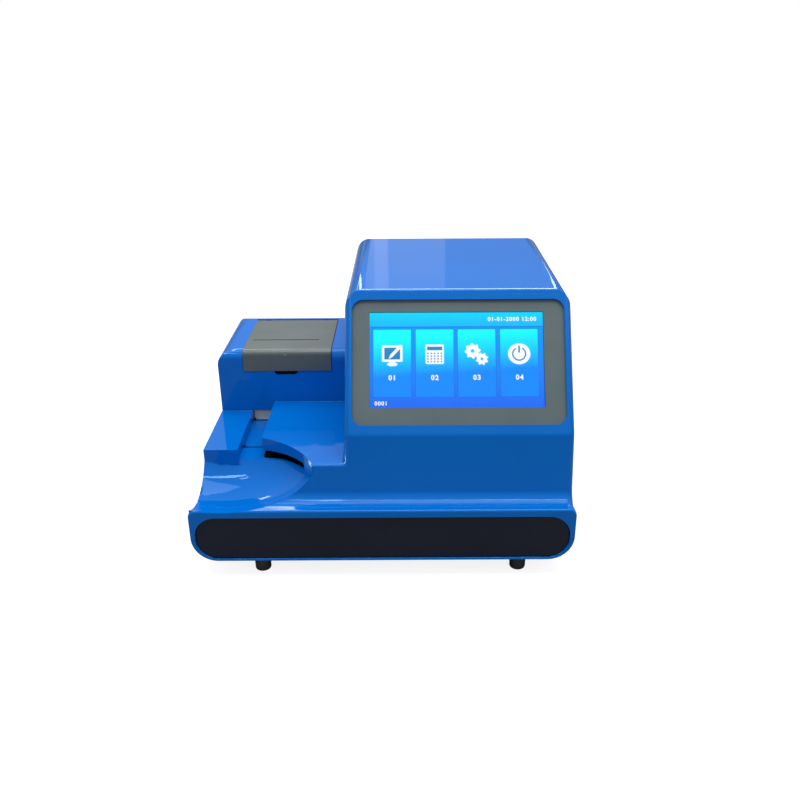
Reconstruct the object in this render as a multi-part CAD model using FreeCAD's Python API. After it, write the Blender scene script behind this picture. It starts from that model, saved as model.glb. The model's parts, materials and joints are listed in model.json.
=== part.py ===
import FreeCAD, Part
import math
import os

# A bench-top urine analyser: a tower with a tilted screen, a receipt printer beside it, a channel and a
# finger dish for the test strip, and the strip transport, optics and electronics inside.
#
# All sizes are millimetres. While the pieces are drawn, x runs to the right from the middle, y runs back
# from the plane of the front face and z runs up from the underside of the housing. save() moves every
# piece so that the origin lies on the table under the middle of the instrument.

# Overall size
housing_width = 339.0
housing_depth = 298.0
housing_height = 222.0
foot_height = 17.0

# General fits
wall = 2.8
play = 0.3
pin_play = 0.05
screw_play = 0.1
overrun = 5.0
tiny = 0.001

# Housing, seen from the front
rim_flare = 1.2
rim_length = 6.0
flare_length = 10.0
rim_edge_radius = 2.0
base_corner_radius = 22.0
side_edge_radius = 6.0
lip_height = 52.0
split_height = 22.4
seam_gap = 0.4
upper_joint_step = 3.0
tower_width = 201.2

# Housing, seen from the side
front_lean = 10.9
screen_lean = 31.3
screen_foot_y = 28.2
screen_foot_z = 110.6
lip_start = 3.0
apron_radius = 12.0
brow_radius = 12.0
crown_radius = 3.0
tower_top_radius = 17.0
tower_back_radius = 8.0

# Platforms, printer box and channel
middle_platform_height = 85.0
middle_platform_radius = 3.0
left_platform_height = 75.0
left_platform_front = 71.5
printer_box_back_gap = 20.5
printer_box_length = 117.0
printer_box_height = 139.4
printer_box_front_radius = 10.0
printer_box_back_radius = 15.0
printer_box_side_radius = 15.0
channel_left = -136.6
channel_right = -113.7
ledge_height = 64.0
ledge_back = 97.5
table_front = 101.0
table_top = 63.3
strip_gap_top = 70.0

# Finger dish
dish_x = -146.35
dish_y = -8.1
dish_radius = 90.7
bowl_x = -140.0
bowl_y = 31.0
bowl_z = 92.0
bowl_radius = 52.0
bowl_reach = 84.0
slot_height = 7.9
slot_tilt = 4.3
slot_lift = 0.5
slot_inset = 2.7
slot_end = -70.8

# Front panel
panel_margin = 4.7
panel_bottom = 1.9
panel_height = 43.2
panel_end_radius = 19.0
panel_recess = 5.5
panel_inset = 2.2
panel_play = 0.4
panel_edge = 0.6
peg_radius = 2.0
peg_length = 4.5
peg_x = 135.0
peg_inner_x = 45.0
peg_low_z = 11.5
peg_high_z = 34.0

# Screen
bezel_left_margin = 15.6
bezel_right_margin = 18.3
bezel_foot_margin = 15.6
bezel_head_margin = 10.5
bezel_foot = 8.8
bezel_corner_radius = 10.0
bezel_lap_side = 2.6
bezel_lap_end = 4.0
bezel_thickness = 2.6
active_width = 154.1
active_height = 85.9
active_centre_x = 66.3
active_corner_radius = 1.0
glass_lap = 4.6
glass_thickness = 1.4
module_lap = 4.0
module_thickness = 6.0
board_gap = 3.0
board_thickness = 1.6
display_chip_size = 16.0
display_chip_height = 2.0
display_socket_width = 24.0
display_socket_height = 5.0
display_socket_depth = 4.0
screw_post_radius = 3.2
screen_post_x = 86.6
screen_post_v = 35.0
screen_screw_length = 7.0
bezel_screw_radius = 1.4
bezel_screw_head_radius = 2.8
bezel_screw_head = 1.8

# Printer lid
lid_left = -142.5
lid_right = -54.0
lid_play = 0.5
lid_proud = 0.8
lid_wall = 2.2
lid_skirt_depth = 20.8
lid_front_radius = 5.5
lid_axis_inset = 22.9
lid_axis_depth = 5.2
lid_pin_radius = 1.5
lid_barrel_radius = 6.0
lid_ear_width = 5.0
lid_ear_gap = 0.4
lid_ear_inset = 10.0
lid_ear_radius = 3.4
lid_slit_left = -137.0
lid_slit_right = -68.6
lid_slit_setback = 31.5
lid_slit_width = 1.8
lid_back_gap = 0.7
notch_left = -111.5
notch_right = -88.0
notch_depth = 4.6
notch_radius = 4.0

# Printer
tub_left = -140.5
tub_right = -56.0
tub_front_gap = 5.5
tub_back_gap = 20.0
tub_bottom_depth = 56.4
tub_top_depth = 14.4
tub_wall = 2.0
tub_leg_radius = 3.5
tub_leg_inset = 6.0
tub_leg_setback = 12.0
roll_x = -102.8
roll_inset = 51.5
roll_depth = 30.9
roll_radius = 20.5
roll_width = 57.5
core_radius = 6.2
spindle_radius = 3.0
platen_setback = 29.5
platen_depth = 25.9
platen_radius = 5.5
platen_length = 60.0
platen_shaft_radius = 2.0
gear_module = 0.5
platen_gear_teeth = 50
pinion_teeth = 14
platen_gear_x = -68.0
pressure_angle = 20.0
root_depth_share = 1.25
flank_points = 4
gear_play = 0.05
gear_width = 4.0
gear_backlash = 0.12
gear_gap = 1.0
head_length = 58.0
head_thickness = 3.0
head_height = 14.0
head_gap = 0.3
head_sink_thickness = 4.0
printer_motor_radius = 9.0
printer_motor_length = 18.0
printer_motor_shaft_radius = 1.0
printer_motor_shaft_length = 8.0

# Strip table and stop
table_left = -140.0
table_right = -3.0
table_back = 172.0
table_thickness = 3.0
finger_slot_width = 3.4
finger_slot_left = -137.6
finger_slot_right = -8.0
back_slot_front = 159.5
wing_left = -107.5
wing_front = 62.0
dish_clearance = 1.0
ramp_run = 17.0
ramp_drop = 4.8
table_leg_width = 4.0
table_leg_depth = 3.4
table_leg_right_x = -34.0
stop_front = 163.6
stop_depth = 8.0
stop_height = 13.0
stop_side_gap = 0.4
stop_edge = 0.6

# Strip pusher
carriage_left = -142.0
carriage_length = 14.0
carriage_front = 93.0
carriage_back = 168.0
carriage_bottom = 44.0
carriage_top = 56.0
finger_width = 1.8
finger_depth = 2.2
finger_rise = 2.0
rod_radius = 2.5
rod_front_y = 112.0
rod_back_y = 148.0
rod_z = 50.0
pusher_bracket_left = -156.0
pusher_bracket_right = 7.0
bracket_thickness = 2.0
bracket_front = 96.0
bracket_back = 160.0
bracket_foot = 10.0
bracket_head = 4.5
belt_y = 130.0
belt_width = 6.0
belt_thickness = 1.4
pulley_radius = 6.0
pulley_flange = 1.2
pulley_flange_thickness = 1.0
pulley_pin_radius = 1.5
pusher_idler_x = -146.0
pusher_drive_x = -13.5
pulley_cheek_thickness = 2.0
pulley_cheek_gap = 0.5
pulley_cheek_half = 6.0
motor_size = 32.0
motor_length = 30.0
motor_corner = 4.0
motor_boss_radius = 11.0
motor_boss = 1.6
motor_shaft_radius = 2.0
motor_shaft_depth = 12.0
motor_gap = 0.5
clamp_half = 5.0

# Optical head
head_left = -27.0
head_right = -7.0
optics_front = 84.0
optics_length = 26.0
optics_bottom = 67.5
optics_top = 93.5
optics_window_radius = 4.0
optics_window_depth = 3.0
scan_rod_left_x = -23.0
scan_rod_right_x = -11.0
scan_rod_z = 79.0
scan_bracket_front = 40.0
scan_bracket_left = -29.5
scan_bracket_right = -4.0
scan_belt_x = -17.0
scan_idler_y = 66.0
scan_drive_y = 181.0

# Waste drawer
drawer_left = 13.0
drawer_front_y = 55.0
drawer_back_y = 165.0
drawer_bottom = 28.5
drawer_height = 24.0
drawer_wall = 2.0
drawer_face_thickness = 3.4
drawer_face_lap = 4.5
drawer_face_drop = 2.0
drawer_face_rise = 5.5
drawer_face_radius = 2.0
drawer_grip_radius = 2.5
drawer_face_gap = 0.6
drawer_grip_width = 46.0
drawer_grip_height = 13.0
drawer_grip_depth = 9.0
runner_width = 9.0
runner_lip = 2.4
runner_lip_height = 8.0
runner_end_gap = 12.0

# Chassis and electronics
chassis_half = 157.0
chassis_front = 14.0
chassis_back = 284.0
chassis_z = 8.0
chassis_thickness = 1.5
chassis_corner = 6.0
boss_radius = 4.5
standoff_radius = 3.0
standoff_height = 6.5
main_board_left = 26.0
main_board_right = 138.0
main_board_front = 190.0
main_board_back = 282.0
main_board_inset = 5.0
board_screw_radius = 1.4
board_screw_head_radius = 2.7
board_screw_head = 1.8
processor_size = 24.0
processor_height = 2.6
memory_length = 16.0
memory_width = 9.0
memory_height = 1.6
capacitor_radius = 4.0
capacitor_height = 11.0
supply_left = -138.0
supply_right = -48.0
supply_front = 187.0
supply_back = 246.0
supply_height = 34.0
supply_cover = 1.0
supply_slot_width = 3.0
supply_slot_count = 7

# Rear panel
rear_left = 14.0
rear_right = 158.0
rear_bottom = 25.0
rear_top = 84.0
rear_frame = 5.0
rear_thickness = 1.5
rear_corner = 4.0
inlet_x = 128.0
inlet_z = 55.0
inlet_width = 27.0
inlet_height = 20.0
inlet_flange = 3.0
inlet_flange_thickness = 2.4
inlet_depth = 18.0
inlet_wall = 1.6
inlet_pin_width = 2.0
inlet_pin_height = 4.0
inlet_pin_length = 12.0
inlet_pin_pitch = 7.0
inlet_pin_drop = 2.0
switch_x = 95.0
switch_width = 22.0
switch_height = 15.0
switch_flange = 2.0
switch_flange_thickness = 1.6
switch_body_depth = 14.0
switch_wall = 1.6
rocker_depth = 3.0
rocker_thickness = 3.0
rocker_gap = 0.6
rocker_edge = 1.0
rocker_rise = 3.0
rocker_throw = 8.0
rocker_pin_radius = 1.2
serial_x = 63.0
serial_width = 31.0
serial_height = 12.5
serial_shell_width = 17.0
serial_shell_height = 8.4
serial_shell_depth = 2.4
serial_flange_thickness = 0.8
serial_hole_margin = 1.0
serial_nut_x = 12.5
serial_body_depth = 10.0
serial_nut_radius = 2.4
serial_nut_height = 1.6
usb_x = 31.0
usb_width = 7.0
usb_height = 14.5
usb_pitch = 6.0
usb_depth = 16.0
usb_wall = 0.6
usb_tongue = 1.8
usb_stand = 1.0
vent_left = 30.0
vent_right = 110.0
vent_bottom = 120.0
vent_height = 34.0
vent_width = 3.0
vent_pitch = 8.0

# Feet and screws
foot_left_x = -110.0
foot_right_x = 122.0
foot_front_y = 16.0
foot_back_y = 272.0
foot_radius = 7.6
foot_taper = 0.5
foot_edge = 1.6
foot_recess_radius = 4.2
foot_recess_depth = 6.0
foot_screw_radius = 2.0
foot_screw_head_radius = 3.6
foot_screw_head = 2.6
foot_screw_length = 15.0
case_screw_radius = 1.6
case_screw_head_radius = 3.0
case_screw_head = 2.4
case_screw_rise = 14.0
case_post_radius = 5.0
case_post_height = 15.0
case_post_x = 150.0
case_post_front_y = 36.0
case_post_middle_y = 184.0
case_post_back_y = 282.0
case_rib = 2.0

# Sizes worked out from those above
half_width = housing_width / 2
body_half = half_width - rim_flare
tower_left = body_half - tower_width
drawer_face_front = drawer_front_y - drawer_face_lap
drawer_face_back = drawer_back_y + drawer_face_lap
drawer_face_bottom = drawer_bottom - drawer_face_drop
drawer_face_top = drawer_bottom + drawer_height + drawer_face_rise
rear_inner = housing_depth - wall
printer_box_back = housing_depth - printer_box_back_gap
printer_box_front = printer_box_back - printer_box_length
lid_skirt_bottom = printer_box_height - lid_skirt_depth
lid_axis_y = printer_box_back - lid_axis_inset
lid_axis_z = printer_box_height - lid_axis_depth
lid_slit_y = printer_box_front + lid_slit_setback
tub_front = printer_box_front + tub_front_gap
tub_back = printer_box_back - tub_back_gap
tub_bottom = printer_box_height - tub_bottom_depth
tub_top = printer_box_height - tub_top_depth
tub_leg_front_y = tub_front + tub_leg_setback
roll_y = printer_box_back - roll_inset
roll_z = printer_box_height - roll_depth
platen_y = printer_box_front + platen_setback
platen_z = printer_box_height - platen_depth
active_left = active_centre_x - active_width / 2
active_right = active_left + active_width
active_bottom = bezel_foot + bezel_foot_margin
active_top = active_bottom + active_height
chassis_top = chassis_z + chassis_thickness
crown_y = screen_foot_y + (housing_height - screen_foot_z) * math.tan(math.radians(screen_lean))
far = housing_width + housing_depth + housing_height

X = FreeCAD.Vector(1, 0, 0)
Y = FreeCAD.Vector(0, 1, 0)
Z = FreeCAD.Vector(0, 0, 1)


def vec(x, y, z):
    return FreeCAD.Vector(x, y, z)


def block(x0, x1, y0, y1, z0, z1):
    return Part.makeBox(x1 - x0, y1 - y0, z1 - z0, vec(x0, y0, z0))


def bar(start, axis, length, radius):
    """A round bar from a point along an axis."""
    return Part.makeCylinder(radius, length, start, axis)


def join(*shapes):
    return shapes[0].multiFuse(list(shapes[1:])).removeSplitter()


def direction(a, b):
    """The unit vector from point a to point b."""
    length = math.hypot(b[0] - a[0], b[1] - a[1])
    return (b[0] - a[0]) / length, (b[1] - a[1]) / length


def rounded_wire(corners, lift):
    """A closed wire through (u, v, radius) corners, each radius an arc; lift turns u, v into a point."""
    ends = []
    count = len(corners)
    for i, (u, v, radius) in enumerate(corners):
        come = direction(corners[i - 1], (u, v))
        leave = direction((u, v), corners[(i + 1) % count])
        cross = come[0] * leave[1] - come[1] * leave[0]
        turn = math.atan2(abs(cross), come[0] * leave[0] + come[1] * leave[1])
        reach = radius * math.tan(turn / 2)
        bend = radius / math.cos(turn / 2) - radius
        inward = direction(come, leave)
        ends.append((
            (u - reach * come[0], v - reach * come[1]),
            (u + bend * inward[0], v + bend * inward[1]),
            (u + reach * leave[0], v + reach * leave[1]),
            radius > 0,
        ))
    edges = []
    for i, (start, middle, end, curved) in enumerate(ends):
        if curved:
            edges.append(Part.Arc(lift(*start), lift(*middle), lift(*end)).toShape())
        following = ends[(i + 1) % count][0]
        if math.dist(end, following) > tiny:
            edges.append(Part.LineSegment(lift(*end), lift(*following)).toShape())
    return Part.Wire(edges)


def inset(corners, distance):
    """The same outline, given anticlockwise, moved inwards by a distance; its arcs keep their centres."""
    moved = []
    count = len(corners)
    for i, (u, v, radius) in enumerate(corners):
        come = direction(corners[i - 1], (u, v))
        leave = direction((u, v), corners[(i + 1) % count])
        cross = come[0] * leave[1] - come[1] * leave[0]
        dot = come[0] * leave[0] + come[1] * leave[1]
        slide = distance * (1 - dot) / cross
        side = radius - distance if cross > 0 else radius + distance
        moved.append((
            u + slide * leave[0] - distance * leave[1],
            v + slide * leave[1] + distance * leave[0],
            max(side, 0) if radius > 0 else 0,
        ))
    return moved


def corners_of(u0, u1, v0, v1, radius):
    return [(u0, v0, radius), (u1, v0, radius), (u1, v1, radius), (u0, v1, radius)]


def side_prism(corners, x0, x1):
    """A solid whose outline is drawn in y, z and which runs from x0 to x1."""
    wire = rounded_wire(corners, lambda y, z: vec(x0, y, z))
    return Part.Face(wire).extrude(X * (x1 - x0))


def front_prism(corners, y0, y1):
    """A solid whose outline is drawn in x, z and which runs from y0 to y1."""
    wire = rounded_wire(corners, lambda x, z: vec(x, y0, z))
    return Part.Face(wire).extrude(Y * (y1 - y0))


def plan_prism(corners, z0, z1):
    """A solid whose outline is drawn in x, y and which runs from z0 to z1."""
    wire = rounded_wire(corners, lambda x, y: vec(x, y, z0))
    return Part.Face(wire).extrude(Z * (z1 - z0))


def edges_where(shape, test):
    return [edge for edge in shape.Edges if test(edge.CenterOfMass)]


def save(name, *solids):
    """Moves the solids to the table frame and writes them as one node."""
    shape = Part.makeCompound(list(solids)) if len(solids) > 1 else solids[0].copy()
    shape.translate(vec(0, -housing_depth / 2, foot_height))
    shape.exportStep("parts/" + name + ".step")
    print(name, len(shape.Solids), "valid" if shape.isValid() else "NOT VALID", round(shape.Volume))


# Outer form of the housing. Each function takes a depth under the outer surface: zero gives the outside,
# the wall thickness gives the room inside.

def front_line(z):
    """How far back the leaning front face lies at a height."""
    return screen_foot_y - (screen_foot_z - z) * math.tan(math.radians(front_lean))


def behind_fascia(corners, depth):
    """Inside, the front wall lies behind the recess of the front panel."""
    if depth == 0:
        return corners
    front = panel_recess + depth
    return [(max(y, front), z, radius) for y, z, radius in inset(corners, depth)]


def tower_form(depth):
    side = [
        (lip_start, 0, 0),
        (housing_depth, 0, 0),
        (housing_depth, housing_height, tower_back_radius),
        (crown_y, housing_height, crown_radius),
        (screen_foot_y, screen_foot_z, brow_radius),
        (front_line(lip_height), lip_height, apron_radius),
        (lip_start, lip_height, 0),
    ]
    solid = side_prism(behind_fascia(side, depth), tower_left + depth, body_half - depth)
    if depth == 0:
        flanks = edges_where(solid, lambda p: tower_left + tiny > p.x or p.x > body_half - tiny)
        flanks = [
            edge for edge in flanks
            if edge.CenterOfMass.z > tiny and edge.CenterOfMass.y > lip_start + tiny
        ]
        solid = solid.makeFillet(side_edge_radius, flanks)
    top = [
        (tower_left, 0, 0),
        (body_half, 0, 0),
        (body_half, housing_height, tower_top_radius),
        (tower_left, housing_height, tower_top_radius),
    ]
    return solid.common(front_prism(inset(top, depth), 0, housing_depth))


def low_form(depth):
    side = [
        (lip_start, 0, 0),
        (housing_depth, 0, 0),
        (housing_depth, middle_platform_height, tower_back_radius),
        (front_line(middle_platform_height), middle_platform_height, middle_platform_radius),
        (front_line(lip_height), lip_height, apron_radius),
        (lip_start, lip_height, 0),
    ]
    right = tower_left + depth + side_edge_radius
    return side_prism(behind_fascia(side, depth), depth - body_half, right)


def printer_form(depth):
    right = tower_left if depth else tower_left + side_edge_radius
    side = [
        (printer_box_front, lip_height, 0),
        (printer_box_back, lip_height, 0),
        (printer_box_back, printer_box_height, printer_box_back_radius),
        (printer_box_front, printer_box_height, printer_box_front_radius),
    ]
    top = [
        (-body_half, lip_height, 0),
        (right + depth, lip_height, 0),
        (right + depth, printer_box_height, 0),
        (-body_half, printer_box_height, printer_box_side_radius),
    ]
    solid = side_prism(inset(side, depth), depth - body_half, right)
    return solid.common(front_prism(inset(top, depth), 0, housing_depth))


def base_outline(half, top, bottom_radius, top_radius):
    return [
        (-half, 0, bottom_radius),
        (half, 0, bottom_radius),
        (half, top, top_radius),
        (-half, top, top_radius),
    ]


def front_rim():
    """The frame round the front panel, a little wider than the body behind it."""
    wide = base_outline(half_width, lip_height, base_corner_radius + rim_flare, side_edge_radius + rim_flare)
    narrow = base_outline(body_half, lip_height, base_corner_radius, side_edge_radius)
    rim = front_prism(wide, 0, rim_length)
    rim = rim.makeFillet(rim_edge_radius, edges_where(rim, lambda p: p.y < tiny))
    start = rounded_wire(wide, lambda x, z: vec(x, rim_length, z))
    end = rounded_wire(narrow, lambda x, z: vec(x, rim_length + flare_length, z))
    return rim.fuse(Part.makeLoft([start, end], True, True))


def dish_tool(depth):
    """The room of the finger dish: a long round bowl that runs out at the left, in a wide upright cylinder."""
    centre = vec(bowl_x, bowl_y, bowl_z)
    curve = Part.Ellipse(centre, bowl_reach + depth, bowl_radius + depth)
    rim = Part.ArcOfEllipse(curve, 0, math.pi).toShape()
    axis = Part.LineSegment(centre - X * (bowl_reach + depth), centre + X * (bowl_reach + depth)).toShape()
    bowl = Part.Face(Part.Wire([rim, axis])).revolve(centre, X, 360)
    round_room = bar(vec(dish_x, dish_y, 0), Z, far, dish_radius + depth)
    behind = block(-far, channel_left - depth, left_platform_front + depth, far, 0, far)
    return round_room.common(bowl).cut(behind)


def platform_tool(depth):
    """The room over the left platform and the channel, up to the printer box."""
    return block(
        -far, channel_right + depth, -far, printer_box_front + depth, left_platform_height - depth, far
    )


def channel_tool(depth):
    """The room of the strip channel over its front ledge."""
    return block(
        channel_left - depth, channel_right + depth,
        left_platform_front - overrun, printer_box_front + depth,
        ledge_height - depth, far,
    )


def whole_form(depth):
    form = join(low_form(depth), tower_form(depth), printer_form(depth))
    rounding = inset(base_outline(body_half, far, base_corner_radius, 0), depth)
    form = form.common(front_prism(rounding, 0, housing_depth))
    if depth == 0:
        form = form.fuse(front_rim())
    for tool in (dish_tool, platform_tool, channel_tool):
        form = form.cut(tool(depth))
    return form.removeSplitter()


def arc_slot():
    """The slot in the dish wall that lets the strip's handle pass under the middle platform."""
    inner = bar(vec(dish_x, dish_y, 0), Z, slot_height, dish_radius - slot_inset)
    ring = bar(vec(dish_x, dish_y, 0), Z, slot_height, dish_radius + wall + overrun).cut(inner)
    ring = ring.common(block(channel_right - wall, slot_end, dish_y, far, 0, slot_height))
    ring.translate(vec(0, 0, ledge_height + slot_lift))
    ring.rotate(vec(channel_right, 0, ledge_height), Y, -slot_tilt)
    return ring


def screen_frame(shape):
    """Moves a shape from the screen's own frame, x, depth and height up the slope, to its place."""
    placed = shape.copy()
    placed.rotate(vec(0, 0, 0), X, -screen_lean)
    placed.translate(vec(0, screen_foot_y, screen_foot_z))
    return placed


def screen_plate(x0, x1, v0, v1, radius, depth, thickness):
    return screen_frame(front_prism(corners_of(x0, x1, v0, v1, radius), depth, depth + thickness))


def bezel_window():
    return (
        active_left - bezel_left_margin, active_right + bezel_right_margin,
        bezel_foot, active_top + bezel_head_margin,
    )


def case_posts():
    """Places of the posts that hold the two housings together, and the way to the wall beside each."""
    places = []
    for side in (-1, 1):
        for y in (case_post_front_y, case_post_middle_y, case_post_back_y):
            places.append((side * case_post_x, y, side))
    return places


def peg_places():
    return [
        (x, z)
        for x in (-peg_x, -peg_inner_x, peg_inner_x, peg_x)
        for z in (peg_low_z, peg_high_z)
    ]


def housing_shell():
    """Both housing halves in one piece, before the split."""
    shell = whole_form(0).cut(whole_form(wall))
    half = half_width - panel_margin
    recess = front_prism(
        corners_of(-half, half, panel_bottom, panel_bottom + panel_height, panel_end_radius),
        -overrun, panel_recess,
    )
    tools = [recess, arc_slot()]
    for x, z in peg_places():
        tools.append(bar(vec(x, 0, z), Y, panel_recess + wall + overrun, peg_radius + screw_play))
    x0, x1, v0, v1 = bezel_window()
    tools.append(screen_plate(x0, x1, v0, v1, bezel_corner_radius, -overrun, wall + overrun * 2))
    below_table = table_top - table_thickness - overrun
    tools.append(block(channel_left, channel_right, ledge_back, printer_box_front, below_table, far))
    tools.append(block(
        channel_left, channel_right, printer_box_front - play, printer_box_front + wall + play,
        below_table, left_platform_height,
    ))
    tools.append(block(
        table_left - play, table_right, table_front - play, table_back + play,
        below_table, table_top + play,
    ))
    tools.append(block(
        channel_right, channel_right + wall + play, left_platform_front + wall,
        printer_box_front + wall + play, below_table, strip_gap_top,
    ))
    lid_back = lid_axis_y + lid_barrel_radius + lid_back_gap
    lid_floor = printer_box_height - wall - play
    tools.append(block(
        lid_left - lid_play, lid_right + lid_play, printer_box_front - overrun, lid_back, lid_floor, far
    ))
    tools.append(block(
        lid_left - lid_play, lid_right + lid_play,
        printer_box_front - overrun, printer_box_front + printer_box_front_radius,
        lid_skirt_bottom - lid_play, far,
    ))
    tools.append(front_prism(
        [
            (notch_left, lid_skirt_bottom - notch_depth, notch_radius),
            (notch_right, lid_skirt_bottom - notch_depth, notch_radius),
            (notch_right, lid_skirt_bottom, 0),
            (notch_left, lid_skirt_bottom, 0),
        ],
        printer_box_front - overrun, printer_box_front + wall + play,
    ))
    tools.append(drawer_opening())
    tools.append(front_prism(
        corners_of(
            rear_left + rear_frame, rear_right - rear_frame,
            rear_bottom + rear_frame, rear_top - rear_frame, rear_corner,
        ),
        rear_inner - play, housing_depth + overrun,
    ))
    count = int((vent_right - vent_left) / vent_pitch) + 1
    for i in range(count):
        x = vent_left + i * vent_pitch
        tools.append(front_prism(
            corners_of(x, x + vent_width, vent_bottom, vent_bottom + vent_height, vent_width / 2),
            rear_inner - play, housing_depth + overrun,
        ))
    for tool in tools:
        shell = shell.cut(tool)
    return shell


def drawer_opening():
    return block(
        body_half - wall - play, body_half + overrun,
        drawer_face_front - drawer_face_gap, drawer_face_back + drawer_face_gap,
        drawer_face_bottom - drawer_face_gap, drawer_face_top + drawer_face_gap,
    )


def housings():
    """Splits the shell at half the panel's height and adds the posts, bosses and feet seats.

    The upper half is written in three touching parts, so that each keeps its hollows open in simulation.
    """
    shell = housing_shell()
    above = block(-far, far, -far, far, split_height + seam_gap / 2, far)
    below = block(-far, far, -far, far, -far, split_height - seam_gap / 2)
    upper = shell.common(above)
    lower = shell.common(below)
    for x, y, side in case_posts():
        post = bar(vec(x, y, split_height), Z, case_post_height, case_post_radius)
        reach = side * (body_half - wall / 2)
        rib = block(
            min(x, reach), max(x, reach), y - case_rib / 2, y + case_rib / 2,
            split_height, split_height + case_post_height,
        )
        hole = bar(vec(x, y, split_height), Z, case_screw_rise, case_screw_radius + screw_play)
        upper = upper.fuse(post).fuse(rib.common(above)).cut(hole)
        foot_post = bar(vec(x, y, wall / 2), Z, split_height - wall / 2, case_post_radius)
        bore = bar(vec(x, y, -overrun), Z, far, case_screw_radius + screw_play)
        sink_depth = overrun + case_screw_head + screw_play
        sink = bar(vec(x, y, -overrun), Z, sink_depth, case_screw_head_radius + screw_play)
        lower = lower.fuse(foot_post).cut(bore).cut(sink)
    for x, y in foot_places():
        boss = bar(vec(x, y, wall / 2), Z, chassis_z - wall / 2, boss_radius)
        bore = bar(vec(x, y, -overrun), Z, overrun + chassis_z + overrun, foot_screw_radius + screw_play)
        lower = lower.fuse(boss).cut(bore)
    upper = upper.removeSplitter()
    joint_x = tower_left - upper_joint_step
    joint_y = printer_box_front - upper_joint_step
    save("upper_housing_tower", upper.common(block(joint_x, far, -far, far, -far, far)))
    save("upper_housing_strip", upper.common(block(-far, joint_x, -far, joint_y, -far, far)))
    save("upper_housing_printer", upper.common(block(-far, joint_x, joint_y, far, -far, far)))
    save("lower_housing", lower.removeSplitter())


def front_panel():
    half = half_width - panel_margin - panel_play
    low = panel_bottom + panel_play
    high = panel_bottom + panel_height - panel_play
    outline = corners_of(-half, half, low, high, panel_end_radius - panel_play)
    plate = front_prism(outline, panel_inset, panel_recess)
    plate = plate.makeFillet(panel_edge, edges_where(plate, lambda p: p.y < panel_inset + tiny))
    pegs = [bar(vec(x, panel_recess - play, z), Y, peg_length + play, peg_radius) for x, z in peg_places()]
    save("front_panel", join(plate, *pegs))


def foot_places():
    return [(x, y) for x in (foot_left_x, foot_right_x) for y in (foot_front_y, foot_back_y)]


def feet():
    rubber = []
    screws = []
    for x, y in foot_places():
        foot = Part.makeCone(foot_radius - foot_taper, foot_radius, foot_height, vec(x, y, -foot_height), Z)
        foot = foot.makeFillet(foot_edge, edges_where(foot, lambda p: p.z < tiny - foot_height))
        recess = bar(vec(x, y, -foot_height - overrun), Z, overrun + foot_recess_depth, foot_recess_radius)
        bore = bar(vec(x, y, -foot_height), Z, foot_height + overrun, foot_screw_radius + screw_play)
        rubber.append(foot.cut(recess).cut(bore))
        seat = foot_recess_depth - foot_height
        head = bar(vec(x, y, seat - foot_screw_head), Z, foot_screw_head, foot_screw_head_radius)
        slot = block(
            x - foot_screw_head_radius, x + foot_screw_head_radius, y - screw_play * 4, y + screw_play * 4,
            seat - foot_screw_head, seat - foot_screw_head / 2,
        )
        length = foot_screw_length + foot_screw_head / 2
        shank = bar(vec(x, y, seat - foot_screw_head / 2), Z, length, foot_screw_radius)
        screws.append(join(head.cut(slot), shank))
    save("rubber_feet", *rubber)
    save("foot_screws", *screws)


def case_screws():
    screws = []
    for x, y, side in case_posts():
        head = bar(vec(x, y, screw_play), Z, case_screw_head, case_screw_head_radius)
        slot = block(
            x - case_screw_head_radius, x + case_screw_head_radius, y - screw_play * 4, y + screw_play * 4,
            0, case_screw_head / 2,
        )
        length = split_height + case_screw_rise - case_screw_head - screw_play * 2
        shank = bar(vec(x, y, case_screw_head), Z, length, case_screw_radius)
        screws.append(join(head.cut(slot), shank))
    save("case_screws", *screws)


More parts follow.
